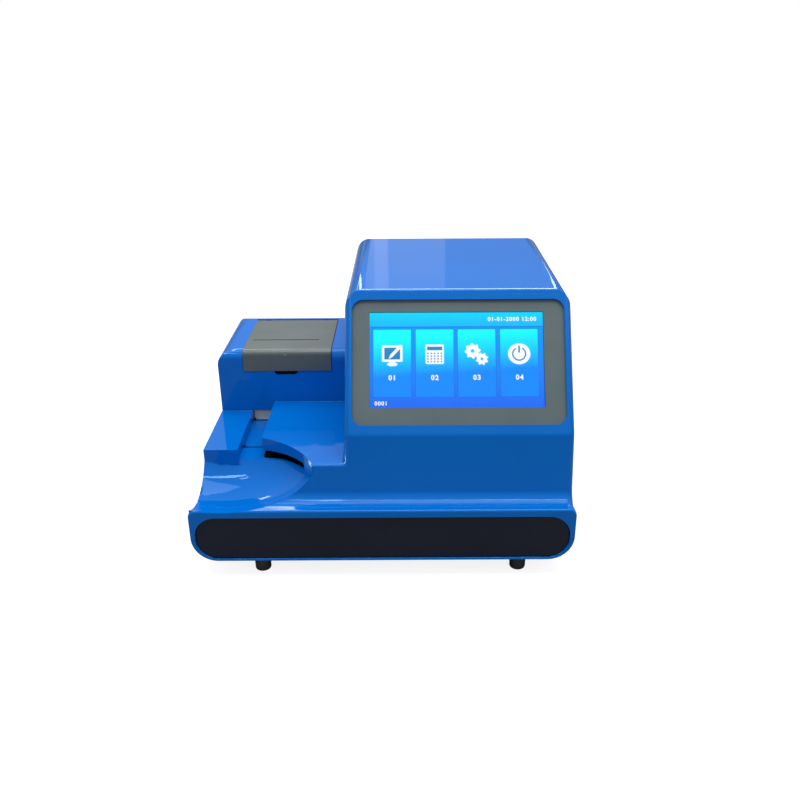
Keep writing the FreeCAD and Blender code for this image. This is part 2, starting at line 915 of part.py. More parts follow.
def screen_parts():
    x0, x1, v0, v1 = bezel_window()
    a0, a1, b0, b1 = active_left, active_right, active_bottom, active_top
    depth = wall
    plate = screen_plate(
        x0 - bezel_lap_side, x1 + bezel_lap_side, v0 - bezel_lap_end, v1 + bezel_lap_end,
        bezel_corner_radius, depth, bezel_thickness,
    )
    opening = screen_plate(
        a0, a1, b0, b1, active_corner_radius, depth - overrun, bezel_thickness + overrun * 2
    )
    board_depth = depth + bezel_thickness + glass_thickness + module_thickness + board_gap
    posts = []
    screws = []
    holes = []
    post_places = [
        ((a0 + a1) / 2 + side * screen_post_x, (b0 + b1) / 2 + up * screen_post_v)
        for side in (-1, 1) for up in (-1, 1)
    ]
    for x, v in post_places:
        start = depth + bezel_thickness - play
        post = bar(vec(x, start, v), Y, board_depth - start, screw_post_radius)
        bore = bar(
            vec(x, board_depth - screen_screw_length, v), Y,
            screen_screw_length + overrun, bezel_screw_radius + screw_play,
        )
        posts.append(screen_frame(post.cut(bore)))
        head = bar(vec(x, board_depth + board_thickness, v), Y, bezel_screw_head, bezel_screw_head_radius)
        shank = bar(
            vec(x, board_depth - screen_screw_length + screw_play, v), Y,
            screen_screw_length + board_thickness + bezel_screw_head / 2, bezel_screw_radius,
        )
        screws.append(screen_frame(join(head, shank)))
        hole = bar(vec(x, board_depth - overrun, v), Y, far, bezel_screw_radius + screw_play)
        holes.append(screen_frame(hole))
    save("screen_bezel", join(plate.cut(opening), *posts))
    save("screen_screws", *screws)
    depth += bezel_thickness
    save("touch_glass", screen_plate(
        a0 - glass_lap, a1 + glass_lap, b0 - glass_lap, b1 + glass_lap,
        active_corner_radius, depth, glass_thickness,
    ))
    depth += glass_thickness
    save("display_module", screen_plate(
        a0 - module_lap, a1 + module_lap, b0 - module_lap, b1 + module_lap,
        active_corner_radius, depth, module_thickness,
    ))
    mid_x = (a0 + a1) / 2
    mid_v = (b0 + b1) / 2
    board = screen_plate(
        mid_x - screen_post_x - screw_post_radius, mid_x + screen_post_x + screw_post_radius,
        mid_v - screen_post_v - screw_post_radius, mid_v + screen_post_v + screw_post_radius,
        screw_post_radius, board_depth, board_thickness,
    )
    for hole in holes:
        board = board.cut(hole)
    back = board_depth + board_thickness - tiny
    chip = screen_plate(
        mid_x, mid_x + display_chip_size, mid_v, mid_v + display_chip_size, 0, back, display_chip_height
    )
    socket = screen_plate(
        mid_x - display_socket_width * 2, mid_x - display_socket_width, mid_v - screen_post_v,
        mid_v - screen_post_v + display_socket_height, 0, back, display_socket_depth,
    )
    spacer = screen_plate(
        mid_x - display_chip_size / 2, mid_x + display_chip_size / 2, mid_v - display_chip_size / 2,
        mid_v + display_chip_size / 2, 0, board_depth - board_gap, board_gap + tiny,
    )
    save("display_board", join(board, chip, socket, spacer))


def printer_lid():
    front = printer_box_front - lid_proud
    top = printer_box_height + lid_proud
    outline = [
        (front, lid_skirt_bottom, 0),
        (front + lid_wall, lid_skirt_bottom, 0),
        (front + lid_wall, top - lid_wall, lid_front_radius - lid_wall),
        (lid_axis_y, top - lid_wall, 0),
        (lid_axis_y, top, 0),
        (front, top, lid_front_radius),
    ]
    cover = side_prism(outline, lid_left, lid_right)
    barrel = bar(vec(lid_left, lid_axis_y, lid_axis_z), X, lid_right - lid_left, lid_barrel_radius)
    bore = bar(vec(lid_left - overrun, lid_axis_y, lid_axis_z), X, far, lid_pin_radius + pin_play)
    lid = join(cover, barrel).cut(bore)
    for x in ear_places():
        room = block(
            x - lid_ear_gap, x + lid_ear_width + lid_ear_gap, lid_axis_y - lid_barrel_radius * 2,
            lid_axis_y + lid_barrel_radius + overrun,
            lid_axis_z - lid_barrel_radius - overrun, top - lid_wall,
        )
        behind = block(
            x - lid_ear_gap, x + lid_ear_width + lid_ear_gap, lid_axis_y, lid_axis_y + far,
            top - lid_wall - tiny, far,
        )
        lid = lid.cut(room).cut(behind)
    slit = block(
        lid_slit_left, lid_slit_right, lid_slit_y - lid_slit_width / 2, lid_slit_y + lid_slit_width / 2,
        top - far, top + far,
    )
    save("printer_lid", lid.cut(slit))
    length = lid_right - lid_left - lid_play * 2
    save("lid_hinge_pin", bar(vec(lid_left + lid_play, lid_axis_y, lid_axis_z), X, length, lid_pin_radius))


def ear_places():
    """Left faces of the two hinge ears."""
    return [lid_left + lid_ear_inset, lid_right - lid_ear_inset - lid_ear_width]


def printer_frame():
    tub = block(tub_left, tub_right, tub_front, tub_back, tub_bottom, tub_top)
    room = block(
        tub_left + tub_wall, tub_right - tub_wall, tub_front + tub_wall, tub_back - tub_wall,
        tub_bottom + tub_wall, tub_top + overrun,
    )
    frame = tub.cut(room)
    for x in ear_places():
        front = lid_axis_y - lid_ear_radius
        stem = block(x, x + lid_ear_width, front, tub_back, tub_top - overrun, lid_axis_z)
        ear = bar(vec(x, lid_axis_y, lid_axis_z), X, lid_ear_width, lid_ear_radius)
        frame = frame.fuse(stem).fuse(ear)
    bore = bar(vec(tub_left - overrun, lid_axis_y, lid_axis_z), X, far, lid_pin_radius + pin_play)
    shaft = bar(vec(tub_left - overrun, platen_y, platen_z), X, far, platen_shaft_radius + pin_play)
    spindle = bar(vec(tub_left - overrun, roll_y, roll_z), X, far, spindle_radius + pin_play)
    frame = frame.cut(bore).cut(shaft).cut(spindle)
    motor_bore = bar(
        vec(tub_left, platen_y, pinion_z()), X, far, printer_motor_shaft_radius * 2 + screw_play
    )
    cradle = block(
        motor_x() - tub_wall, motor_x(), tub_front + tub_wall - tiny, platen_y + printer_motor_radius,
        tub_bottom + tub_wall - tiny, pinion_z() + printer_motor_radius,
    )
    frame = frame.fuse(cradle.cut(motor_bore))
    for x in (tub_left + tub_leg_inset, tub_right - tub_leg_inset):
        for y in (tub_leg_front_y, tub_back - tub_leg_radius):
            leg = bar(vec(x, y, chassis_top), Z, tub_bottom - chassis_top + tub_wall / 2, tub_leg_radius)
            frame = frame.fuse(leg)
    save("printer_frame", frame.removeSplitter())


def gear_radius(teeth):
    return gear_module * teeth / 2


def pinion_z():
    """The pinion meshes with the platen gear straight below it."""
    return platen_z - gear_radius(platen_gear_teeth) - gear_radius(pinion_teeth) - gear_play


def motor_x():
    """The face of the printer motor; its pinion is level with the platen gear."""
    return platen_gear_x - gear_gap


def involute_gear(teeth, x, y, z, tooth_at, bore):
    """A spur gear round an axis along x, with one tooth centred on the angle tooth_at from y to z."""
    pitch = gear_radius(teeth)
    pressure = math.radians(pressure_angle)
    base = pitch * math.cos(pressure)
    tip = pitch + gear_module
    root = pitch - gear_module * root_depth_share
    half_tooth = math.pi / (2 * teeth) - gear_backlash / (2 * pitch)
    lean = math.tan(pressure) - pressure
    flank = []
    start = max(base, root)
    for i in range(flank_points):
        radius = start + (tip - start) * i / (flank_points - 1)
        unwound = math.sqrt(max((radius / base) ** 2 - 1, 0))
        flank.append((radius, half_tooth + lean - (unwound - math.atan(unwound))))
    outline = []
    for i in range(teeth):
        centre = tooth_at + i * 2 * math.pi / teeth
        side = [(root, flank[0][1])] + flank if base > root else flank
        for radius, angle in side:
            outline.append((radius, centre - angle))
        for radius, angle in reversed(side):
            outline.append((radius, centre + angle))
    points = [vec(x, y + r * math.cos(a), z + r * math.sin(a)) for r, a in outline]
    wheel = Part.Face(Part.makePolygon(points + [points[0]])).extrude(X * gear_width)
    if bore > 0:
        wheel = wheel.cut(bar(vec(x - overrun, y, z), X, gear_width + overrun * 2, bore))
    return wheel


def printer_works():
    roll_left = roll_x - roll_width / 2
    paper = bar(vec(roll_left, roll_y, roll_z), X, roll_width, roll_radius)
    core = bar(vec(roll_left - overrun, roll_y, roll_z), X, roll_width + overrun * 2, core_radius)
    save("paper_roll", paper.cut(core))
    left = tub_left + play
    right = tub_right - play
    spool = bar(vec(roll_left - play, roll_y, roll_z), X, roll_width + play * 2, core_radius - pin_play)
    save("paper_spindle", join(bar(vec(left, roll_y, roll_z), X, right - left, spindle_radius), spool))
    roller_left = roll_x - platen_length / 2
    roller = bar(vec(roller_left, platen_y, platen_z), X, platen_length, platen_radius)
    shaft = bar(vec(left, platen_y, platen_z), X, right - left, platen_shaft_radius)
    bore = bar(vec(left, platen_y, platen_z), X, right - left, platen_shaft_radius)
    save("platen_roller", roller.cut(bore))
    save("platen_shaft", shaft)
    save("platen_gear", involute_gear(
        platen_gear_teeth, platen_gear_x, platen_y, platen_z, -math.pi / 2, platen_shaft_radius
    ))
    pinion = involute_gear(
        pinion_teeth, platen_gear_x, platen_y, pinion_z(), math.pi / 2 + math.pi / pinion_teeth, 0
    )
    pin = bar(
        vec(motor_x() - printer_motor_shaft_length, platen_y, pinion_z()), X,
        printer_motor_shaft_length + gear_gap + gear_width / 2, printer_motor_shaft_radius,
    )
    save("motor_pinion", join(pinion, pin))
    face = motor_x() - tub_wall
    rear = vec(face - printer_motor_length, platen_y, pinion_z())
    can = bar(rear, X, printer_motor_length, printer_motor_radius)
    bottom = vec(face - printer_motor_shaft_length, platen_y, pinion_z())
    hole = bar(bottom, X, far, printer_motor_shaft_radius + pin_play)
    save("printer_motor", can.cut(hole))
    head_y = platen_y - platen_radius - head_gap
    head_left = roll_x - head_length / 2
    plate = block(
        head_left, head_left + head_length, head_y - head_thickness, head_y,
        platen_z - head_height / 2, platen_z + head_height / 2,
    )
    save("thermal_head", plate)
    sink = block(
        head_left, head_left + head_length, tub_front + tub_wall, head_y - head_thickness,
        platen_z - head_height / 2, platen_z + head_height / 2,
    )
    groove = head_sink_thickness / 2
    count = int(head_height / head_sink_thickness)
    for i in range(count):
        z = platen_z - head_height / 2 + i * head_sink_thickness
        sink = sink.cut(block(
            head_left - overrun, head_left + head_length + overrun, tub_front + tub_wall + groove,
            head_y - head_thickness - groove, z + groove, z + groove * 2,
        ))
    save("head_heat_sink", sink)


def strip_table():
    under = table_top - table_thickness
    plate = block(table_left, table_right, table_front, table_back, under, table_top)
    wing = block(wing_left, table_right, wing_front, table_front - finger_slot_width, under, table_top)
    wing = wing.cut(bar(vec(dish_x, dish_y, 0), Z, far, dish_radius + wall + dish_clearance))
    bridge = block(finger_slot_right, table_right, wing_front, table_back, under, table_top)
    ramp = side_plate([
        (table_right, table_top), (table_right + ramp_run, table_top - ramp_drop),
        (table_right + ramp_run, under - ramp_drop), (table_right, under),
    ], wing_front, table_back)
    table = join(plate, wing, bridge, ramp)
    table = table.cut(block(
        finger_slot_left, finger_slot_right, back_slot_front, back_slot_front + finger_slot_width,
        under - overrun, table_top + overrun,
    ))
    for x, y in (
        (table_left + table_leg_width / 2, table_back - table_leg_depth),
        (table_leg_right_x, table_back - table_leg_depth),
        (table_leg_right_x, wing_front),
    ):
        head = table_top - table_thickness / 2
        leg = block(x, x + table_leg_width, y, y + table_leg_depth, chassis_top, head)
        table = table.fuse(leg)
    save("strip_table", table.removeSplitter())
    stop = block(
        channel_left + stop_side_gap, channel_right - stop_side_gap, stop_front, stop_front + stop_depth,
        table_top, table_top + stop_height,
    )
    top_edges = edges_where(stop, lambda p: p.z > table_top + stop_height - tiny)
    save("strip_stop", stop.makeChamfer(stop_edge, top_edges))


def side_plate(points, y0, y1):
    """A plate whose outline is drawn in x, z and which runs from y0 to y1."""
    return front_prism([(x, z, 0) for x, z in reversed(points)], y0, y1)


def strip_pusher():
    x1 = carriage_left + carriage_length
    body = block(carriage_left, x1, carriage_front, carriage_back, carriage_bottom, carriage_top)
    for y in (rod_front_y, rod_back_y):
        start = vec(carriage_left - overrun, y, rod_z)
        body = body.cut(bar(start, X, carriage_length + overrun * 2, rod_radius + pin_play))
    finger_x = channel_left + play
    fingers = []
    for y in (table_front - finger_slot_width / 2, back_slot_front + finger_slot_width / 2):
        fingers.append(block(
            finger_x, finger_x + finger_width, y - finger_depth / 2, y + finger_depth / 2,
            carriage_top - play, table_top + finger_rise,
        ))
    middle = (carriage_left + x1) / 2
    lug = block(
        middle - clamp_half, middle + clamp_half, belt_y - belt_width / 2, belt_y + belt_width / 2,
        pulley_z() + pulley_radius + play + belt_thickness + play, carriage_bottom + play,
    )
    save("strip_pusher", join(body, lug, *fingers))


def pulley_z():
    """The pusher motor stands on the chassis, and its shaft sets the height of the belt."""
    return chassis_top + motor_size / 2


def pusher_rods():
    length = pusher_bracket_right - pusher_bracket_left
    save("pusher_rods", *[
        bar(vec(pusher_bracket_left, y, rod_z), X, length + bracket_thickness, rod_radius)
        for y in (rod_front_y, rod_back_y)
    ])


def pulley(centre, axis, shaft_start, shaft_length, shaft_radius, bore):
    """A flanged belt pulley round the middle of its belt; a shaft of no length is left out."""
    half = belt_width / 2 + play
    wheel = bar(centre - axis * half, axis, half * 2, pulley_radius)
    for side in (-1, 1):
        start = half if side > 0 else -half - pulley_flange_thickness
        flange_radius = pulley_radius + pulley_flange
        wheel = wheel.fuse(bar(centre + axis * start, axis, pulley_flange_thickness, flange_radius))
    if shaft_length > 0:
        wheel = wheel.fuse(bar(centre + axis * shaft_start, axis, shaft_length, shaft_radius))
    if bore > 0:
        wheel = wheel.cut(bar(centre - axis * far / 2, axis, far, bore))
    return wheel.removeSplitter()


def pulley_half():
    return belt_width / 2 + play + pulley_flange_thickness


def belt(centre_a, centre_b, axis):
    """A flat belt round two equal pulleys."""
    along = (centre_b - centre_a)
    length = along.Length
    along.normalize()
    across = axis.cross(along)
    inner = pulley_radius + play
    loops = []
    for radius in (inner + belt_thickness, inner):
        start = centre_a - axis * (belt_width / 2)
        far_end = bar(start + along * length, axis, belt_width, radius)
        ends = bar(start, axis, belt_width, radius).fuse(far_end)
        a = start - across * radius
        corners = [a, a + along * length, a + along * length + across * radius * 2, a + across * radius * 2]
        slab = Part.Face(Part.makePolygon(corners + [a])).extrude(axis * belt_width)
        loops.append(ends.fuse(slab))
    return loops[0].cut(loops[1]).removeSplitter()


def motor(face, axis, up, shaft_bore):
    """A square stepper motor behind its face; axis points out of the shaft end."""
    side = axis.cross(up)
    half = motor_size / 2
    corner = face - side * half - up * half
    width = side * motor_size
    height = up * motor_size
    ring = [corner, corner + width, corner + width + height, corner + height]
    can = Part.Face(Part.makePolygon(ring + [corner])).extrude(axis * -motor_length)
    long_edges = [
        edge for edge in can.Edges
        if abs(abs((edge.Vertexes[1].Point - edge.Vertexes[0].Point).normalize().dot(axis)) - 1) < tiny
    ]
    can = can.makeChamfer(motor_corner, long_edges)
    boss = bar(face - axis * play, axis, motor_boss + play, motor_boss_radius)
    bore = bar(face - axis * motor_shaft_depth, axis, far, shaft_bore)
    return can.fuse(boss).cut(bore).removeSplitter()


def pusher_drive():
    z = pulley_z()
    idler = vec(pusher_idler_x, belt_y, z)
    drive = vec(pusher_drive_x, belt_y, z)
    save("pusher_idler_pulley", pulley(idler, Y, 0, 0, 0, pulley_pin_radius + pin_play))
    shaft_length = pulley_half() + motor_gap + motor_boss + motor_shaft_depth - play
    save("pusher_drive_pulley", pulley(drive, Y, 0, shaft_length, motor_shaft_radius, 0))
    save("pusher_belt", belt(idler, drive, Y))
    face = drive + Y * (pulley_half() + motor_gap + motor_boss)
    save("pusher_motor", motor(face, Y * -1, Z, motor_shaft_radius + pin_play))
    arm_gap = pulley_half() + pulley_cheek_gap
    arms = []
    for side in (-1, 1):
        y0 = belt_y + arm_gap if side > 0 else belt_y - arm_gap - pulley_cheek_thickness
        arms.append(block(
            pusher_bracket_left, pusher_idler_x + pulley_cheek_half, y0, y0 + pulley_cheek_thickness,
            z - pulley_cheek_half, z + pulley_cheek_half,
        ))
    brackets = []
    for x, extra in ((pusher_bracket_left, arms), (pusher_bracket_right, [])):
        head = rod_z + bracket_head
        plate = block(x, x + bracket_thickness, bracket_front, bracket_back, chassis_top, head)
        sole = chassis_top + bracket_thickness
        foot = block(x, x + bracket_foot, bracket_front, bracket_back, chassis_top, sole)
        if extra:
            plate = plate.fuse(foot)
        for piece in extra:
            plate = plate.fuse(piece)
        for y in (rod_front_y, rod_back_y):
            plate = plate.cut(bar(vec(x - overrun, y, rod_z), X, far / 4, rod_radius + pin_play))
        plate = plate.cut(bar(vec(pusher_idler_x, belt_y - far / 2, z), Y, far, pulley_pin_radius + pin_play))
        brackets.append(plate.removeSplitter())
    save("pusher_brackets", *brackets)
    save("pusher_idler_pin", bar(
        vec(pusher_idler_x, belt_y - arm_gap - pulley_cheek_thickness, z), Y,
        (arm_gap + pulley_cheek_thickness) * 2, pulley_pin_radius,
    ))


def scan_z():
    """The scan belt runs just over the optical head."""
    return optics_top + play + belt_thickness + play + pulley_radius


def optical_head():
    body = block(head_left, head_right, optics_front, optics_front + optics_length, optics_bottom, optics_top)
    for x in (scan_rod_left_x, scan_rod_right_x):
        start = vec(x, optics_front - overrun, scan_rod_z)
        body = body.cut(bar(start, Y, optics_length + overrun * 2, rod_radius + pin_play))
    window = bar(
        vec(scan_belt_x, optics_front + optics_length / 2, optics_bottom - overrun), Z,
        overrun + optics_window_depth, optics_window_radius,
    )
    save("optical_head", body.cut(window))
    save("optics_lens", bar(
        vec(scan_belt_x, optics_front + optics_length / 2, optics_bottom + optics_window_depth / 2), Z,
        optics_window_depth / 2, optics_window_radius - pin_play,
    ))


def scan_drive():
    z = scan_z()
    idler = vec(scan_belt_x, scan_idler_y, z)
    drive = vec(scan_belt_x, scan_drive_y, z)
    save("scan_idler_pulley", pulley(idler, X, 0, 0, 0, pulley_pin_radius + pin_play))
    shaft_length = pulley_half() + motor_gap + motor_boss + motor_shaft_depth - play
    save("scan_drive_pulley", pulley(drive, X, 0, shaft_length, motor_shaft_radius, 0))
    save("scan_belt", belt(idler, drive, X))
    face = drive + X * (pulley_half() + motor_gap + motor_boss)
    save("scan_motor", motor(face, X * -1, Z, motor_shaft_radius + pin_play))
    arm_gap = pulley_half() + pulley_cheek_gap
    front_plate = block(
        scan_bracket_left, scan_bracket_right, scan_bracket_front, scan_bracket_front + bracket_thickness,
        chassis_top, z + pulley_cheek_half,
    )
    for side in (-1, 1):
        x0 = scan_belt_x + arm_gap if side > 0 else scan_belt_x - arm_gap - pulley_cheek_thickness
        front_plate = front_plate.fuse(block(
            x0, x0 + pulley_cheek_thickness, scan_bracket_front, scan_idler_y + pulley_cheek_half / 2,
            z - pulley_cheek_half, z + pulley_cheek_half,
        ))
    front_plate = front_plate.cut(bar(
        vec(scan_belt_x - far / 2, scan_idler_y, z), X, far, pulley_pin_radius + pin_play
    ))
    back_y = scan_drive_y + motor_size / 2
    back_plate = block(
        scan_bracket_left, face.x + motor_length, back_y, back_y + bracket_thickness,
        chassis_top, z + motor_size / 2,
    )
    plates = []
    for plate in (front_plate, back_plate):
        for x in (scan_rod_left_x, scan_rod_right_x):
            plate = plate.cut(bar(vec(x, 0, scan_rod_z), Y, housing_depth, rod_radius + pin_play))
        plates.append(plate.removeSplitter())
    save("scan_brackets", *plates)
    save("scan_rods", *[
        bar(
            vec(x, scan_bracket_front, scan_rod_z), Y,
            back_y + bracket_thickness - scan_bracket_front, rod_radius,
        )
        for x in (scan_rod_left_x, scan_rod_right_x)
    ])
    save("scan_idler_pin", bar(
        vec(scan_belt_x - arm_gap - pulley_cheek_thickness, scan_idler_y, z), X,
        (arm_gap + pulley_cheek_thickness) * 2, pulley_pin_radius,
    ))


def waste_drawer():
    box = block(
        drawer_left, body_half - drawer_face_thickness + play, drawer_front_y, drawer_back_y,
        drawer_bottom, drawer_bottom + drawer_height,
    )
    room = block(
        drawer_left + drawer_wall, body_half - drawer_face_thickness, drawer_front_y + drawer_wall,
        drawer_back_y - drawer_wall, drawer_bottom + drawer_wall, far,
    )
    face = side_prism(
        corners_of(
            drawer_face_front, drawer_face_back, drawer_face_bottom, drawer_face_top, drawer_face_radius
        ),
        body_half - drawer_face_thickness, body_half,
    )
    middle = (drawer_front_y + drawer_back_y) / 2
    grip = side_prism(
        corners_of(
            middle - drawer_grip_width / 2, middle + drawer_grip_width / 2,
            drawer_face_top - drawer_grip_height, drawer_face_top + overrun, drawer_grip_radius
        ),
        body_half - drawer_face_thickness - overrun, body_half + overrun,
    )
    pocket = side_prism(
        corners_of(
            middle - drawer_grip_width / 2 - drawer_wall, middle + drawer_grip_width / 2 + drawer_wall,
            drawer_face_top - drawer_grip_height - drawer_wall, drawer_bottom + drawer_height,
            drawer_wall,
        ),
        body_half - drawer_face_thickness - drawer_grip_depth, body_half - drawer_face_thickness + tiny,
    )
    pocket_room = side_prism(
        corners_of(
            middle - drawer_grip_width / 2, middle + drawer_grip_width / 2,
            drawer_face_top - drawer_grip_height, drawer_bottom + drawer_height + overrun, 0
        ),
        body_half - drawer_face_thickness - drawer_grip_depth + drawer_wall, body_half + overrun,
    )
    drawer = join(box.cut(room), face, pocket).cut(grip).cut(pocket_room)
    save("waste_drawer", drawer.removeSplitter())
    runners = []
    runner_end = body_half - wall - runner_end_gap
    top = drawer_bottom - play
    for side in (-1, 1):
        edge = drawer_front_y - play if side < 0 else drawer_back_y + play
        y0 = edge - runner_lip if side < 0 else edge - runner_width
        y1 = edge + runner_width if side < 0 else edge + runner_lip
        rail = block(drawer_left, runner_end, y0, y1, chassis_top, top)
        lip = (y0, edge) if side < 0 else (edge, y1)
        rail = rail.fuse(block(drawer_left, runner_end, lip[0], lip[1], top - play, top + runner_lip_height))
        hollow = block(
            drawer_left - overrun, runner_end + overrun, y0 + runner_lip, y1 - runner_lip,
            chassis_top - overrun, top - runner_lip,
        )
        runners.append(rail.cut(hollow).removeSplitter())
    save("drawer_runners", *runners)


def chassis():
    plate = plan_prism(
        corners_of(-chassis_half, chassis_half, chassis_front, chassis_back, chassis_corner),
        chassis_z, chassis_top,
    )
    for x, y, side in case_posts():
        room = bar(vec(x, y, chassis_z - overrun), Z, overrun * 3, case_post_radius + dish_clearance)
        plate = plate.cut(room)
    for x, y in foot_places():
        plate = plate.cut(bar(vec(x, y, chassis_z - overrun), Z, overrun * 3, foot_screw_radius + screw_play))
    save("chassis_plate", plate)


def main_board():
    z = chassis_top + standoff_height
    board = block(
        main_board_left, main_board_right, main_board_front, main_board_back, z, z + board_thickness
    )
    places = [
        (x, y)
        for x in (main_board_left + main_board_inset, main_board_right - main_board_inset)
        for y in (main_board_front + main_board_inset, main_board_back - main_board_inset)
    ]
    posts = []
    screws = []
    for x, y in places:
        hole = bar(vec(x, y, 0), Z, far, board_screw_radius + screw_play)
        board = board.cut(hole)
        posts.append(bar(vec(x, y, chassis_top), Z, standoff_height, standoff_radius).cut(hole))
        head = bar(vec(x, y, z + board_thickness), Z, board_screw_head, board_screw_head_radius)
        length = standoff_height + board_thickness + board_screw_head / 2
        shank = bar(vec(x, y, chassis_top), Z, length, board_screw_radius)
        screws.append(join(head, shank))
    top = z + board_thickness - tiny
    mid_x = (main_board_left + main_board_right) / 2
    mid_y = (main_board_front + main_board_back) / 2
    chips = [block(
        mid_x - processor_size, mid_x, mid_y - processor_size / 2, mid_y + processor_size / 2,
        top, top + processor_height,
    )]
    for i in range(2):
        x = mid_x + memory_width + i * memory_width * 2
        chips.append(block(
            x, x + memory_width, mid_y - memory_length / 2, mid_y + memory_length / 2,
            top, top + memory_height,
        ))
    for i in range(3):
        y = main_board_front + capacitor_radius * 3 + i * capacitor_radius * 3
        foot = vec(main_board_right - capacitor_radius * 4, y, top)
        chips.append(bar(foot, Z, capacitor_height, capacitor_radius))
    save("main_board", join(board, *chips))
    save("board_standoffs", *posts)
    save("board_screws", *screws)


def power_supply():
    top = chassis_top + supply_height
    can = block(supply_left, supply_right, supply_front, supply_back, chassis_top, top)
    room = block(
        supply_left + supply_cover, supply_right - supply_cover,
        supply_front + supply_cover, supply_back - supply_cover,
        chassis_top + supply_cover, chassis_top + supply_height - supply_cover,
    )
    can = can.cut(room)
    pitch = (supply_right - supply_left) / (supply_slot_count + 1)
    for i in range(supply_slot_count):
        x = supply_left + pitch * (i + 1)
        can = can.cut(block(
            x, x + supply_slot_width, supply_front + supply_cover * 8, supply_back - supply_cover * 8,
            chassis_top + supply_height - supply_cover * 2, far,
        ))
    save("power_supply", can)


def rear_panel():
    plate = front_prism(
        corners_of(rear_left, rear_right, rear_bottom, rear_top, rear_corner),
        rear_inner - rear_thickness, rear_inner,
    )
    holes = [
        (inlet_x, inlet_z, inlet_width, inlet_height),
        (switch_x, inlet_z, switch_width, switch_height),
        (
            serial_x, inlet_z,
            serial_shell_width + serial_hole_margin, serial_shell_height + serial_hole_margin,
        ),
    ]
    holes += [(usb_x + i * (usb_width + usb_pitch), inlet_z, usb_width, usb_height) for i in (-1 / 2, 1 / 2)]
    for x, z, width, height in holes:
        plate = plate.cut(block(
            x - width / 2 - screw_play, x + width / 2 + screw_play,
            rear_inner - rear_thickness - overrun, far,
            z - height / 2 - screw_play, z + height / 2 + screw_play,
        ))
    save("rear_panel", plate)
    rear_sockets()


def centred(x, z, width, height, y0, y1):
    return block(x - width / 2, x + width / 2, y0, y1, z - height / 2, z + height / 2)


def rear_sockets():
    face = rear_inner
    flange = centred(
        inlet_x, inlet_z, inlet_width + inlet_flange * 2, inlet_height + inlet_flange * 2,
        face, face + inlet_flange_thickness,
    )
    body = centred(inlet_x, inlet_z, inlet_width, inlet_height, face - inlet_depth, face + tiny)
    room = centred(
        inlet_x, inlet_z, inlet_width - inlet_wall * 2, inlet_height - inlet_wall * 2,
        face - inlet_depth + inlet_wall, far,
    )
    pins = [
        centred(
            inlet_x + i * inlet_pin_pitch, inlet_z + (0 if i else inlet_pin_drop),
            inlet_pin_width, inlet_pin_height,
            face - inlet_depth + inlet_wall - tiny, face - inlet_depth + inlet_wall + inlet_pin_length,
        )
        for i in (-1, 0, 1)
    ]
    save("power_inlet", join(join(flange, body).cut(room), *pins))
    frame = centred(
        switch_x, inlet_z, switch_width + switch_flange * 2, switch_height + switch_flange * 2,
        face, face + switch_flange_thickness,
    )
    body = centred(switch_x, inlet_z, switch_width, switch_height, face - switch_body_depth, face + tiny)
    frame = frame.fuse(body)
    frame = frame.cut(centred(
        switch_x, inlet_z, switch_width - switch_wall * 2, switch_height - switch_wall * 2,
        face - switch_body_depth + switch_wall, far,
    ))
    pivot_y = face - rocker_depth
    bore_foot = vec(switch_x, pivot_y, inlet_z - switch_height / 2 + switch_wall / 2)
    bore = bar(bore_foot, Z, switch_height - switch_wall, rocker_pin_radius + pin_play)
    save("switch_frame", frame.cut(bore).removeSplitter())
    half = switch_width / 2 - switch_wall - rocker_gap
    outline = [
        (switch_x - half, pivot_y - rocker_thickness / 2, 0),
        (switch_x + half, pivot_y - rocker_thickness / 2, 0),
        (switch_x + half, face + rocker_rise / 2, rocker_edge),
        (switch_x, face + rocker_rise / 4, 0),
        (switch_x - half, face + rocker_rise / 2, rocker_edge),
    ]
    rise = switch_height / 2 - switch_wall - rocker_gap
    rocker = plan_prism(outline, inlet_z - rise, inlet_z + rise)
    pin_length = switch_height - switch_wall - pin_play * 4
    pin = bar(vec(switch_x, pivot_y, inlet_z - pin_length / 2), Z, pin_length, rocker_pin_radius)
    rocker = rocker.fuse(pin)
    rocker.rotate(vec(switch_x, pivot_y, inlet_z), Z, rocker_throw)
    save("power_rocker", rocker)
    flange = centred(serial_x, inlet_z, serial_width, serial_height, face, face + serial_flange_thickness)
    shell = centred(
        serial_x, inlet_z, serial_shell_width, serial_shell_height,
        face - serial_body_depth, face + serial_shell_depth,
    )
    core = centred(
        serial_x, inlet_z, serial_shell_width - usb_wall * 2, serial_shell_height - usb_wall * 2,
        face + serial_flange_thickness, far,
    )
    serial = join(flange, shell).cut(core)
    for side in (-1, 1):
        seat = vec(serial_x + side * serial_nut_x, face, inlet_z)
        nut = bar(seat, Y, serial_flange_thickness + serial_nut_height, serial_nut_radius)
        serial = serial.fuse(nut)
    save("serial_socket", serial.removeSplitter())
    sockets = []
    for i in (-1 / 2, 1 / 2):
        x = usb_x + i * (usb_width + usb_pitch)
        shell = centred(x, inlet_z, usb_width, usb_height, face - usb_depth, face + usb_stand)
        bottom = face - usb_depth + usb_wall
        room = centred(x, inlet_z, usb_width - usb_wall * 2, usb_height - usb_wall * 2, bottom, far)
        rim = centred(x, inlet_z, usb_width + usb_tongue, usb_height + usb_tongue, face, face + usb_wall)
        tongue = centred(x, inlet_z, usb_tongue, usb_height - usb_tongue * 2, bottom - tiny, face)
        sockets.append(join(join(shell, rim).cut(room), tongue))
    save("usb_sockets", *sockets)


def main():
    os.makedirs("parts", exist_ok=True)
    housings()
    front_panel()
    feet()
    case_screws()
    screen_parts()
    printer_lid()
    printer_frame()
    printer_works()
    strip_table()
    strip_pusher()
    pusher_rods()
    pusher_drive()
    optical_head()
    scan_drive()
    waste_drawer()
    chassis()
    main_board()
    power_supply()
    rear_panel()


main()
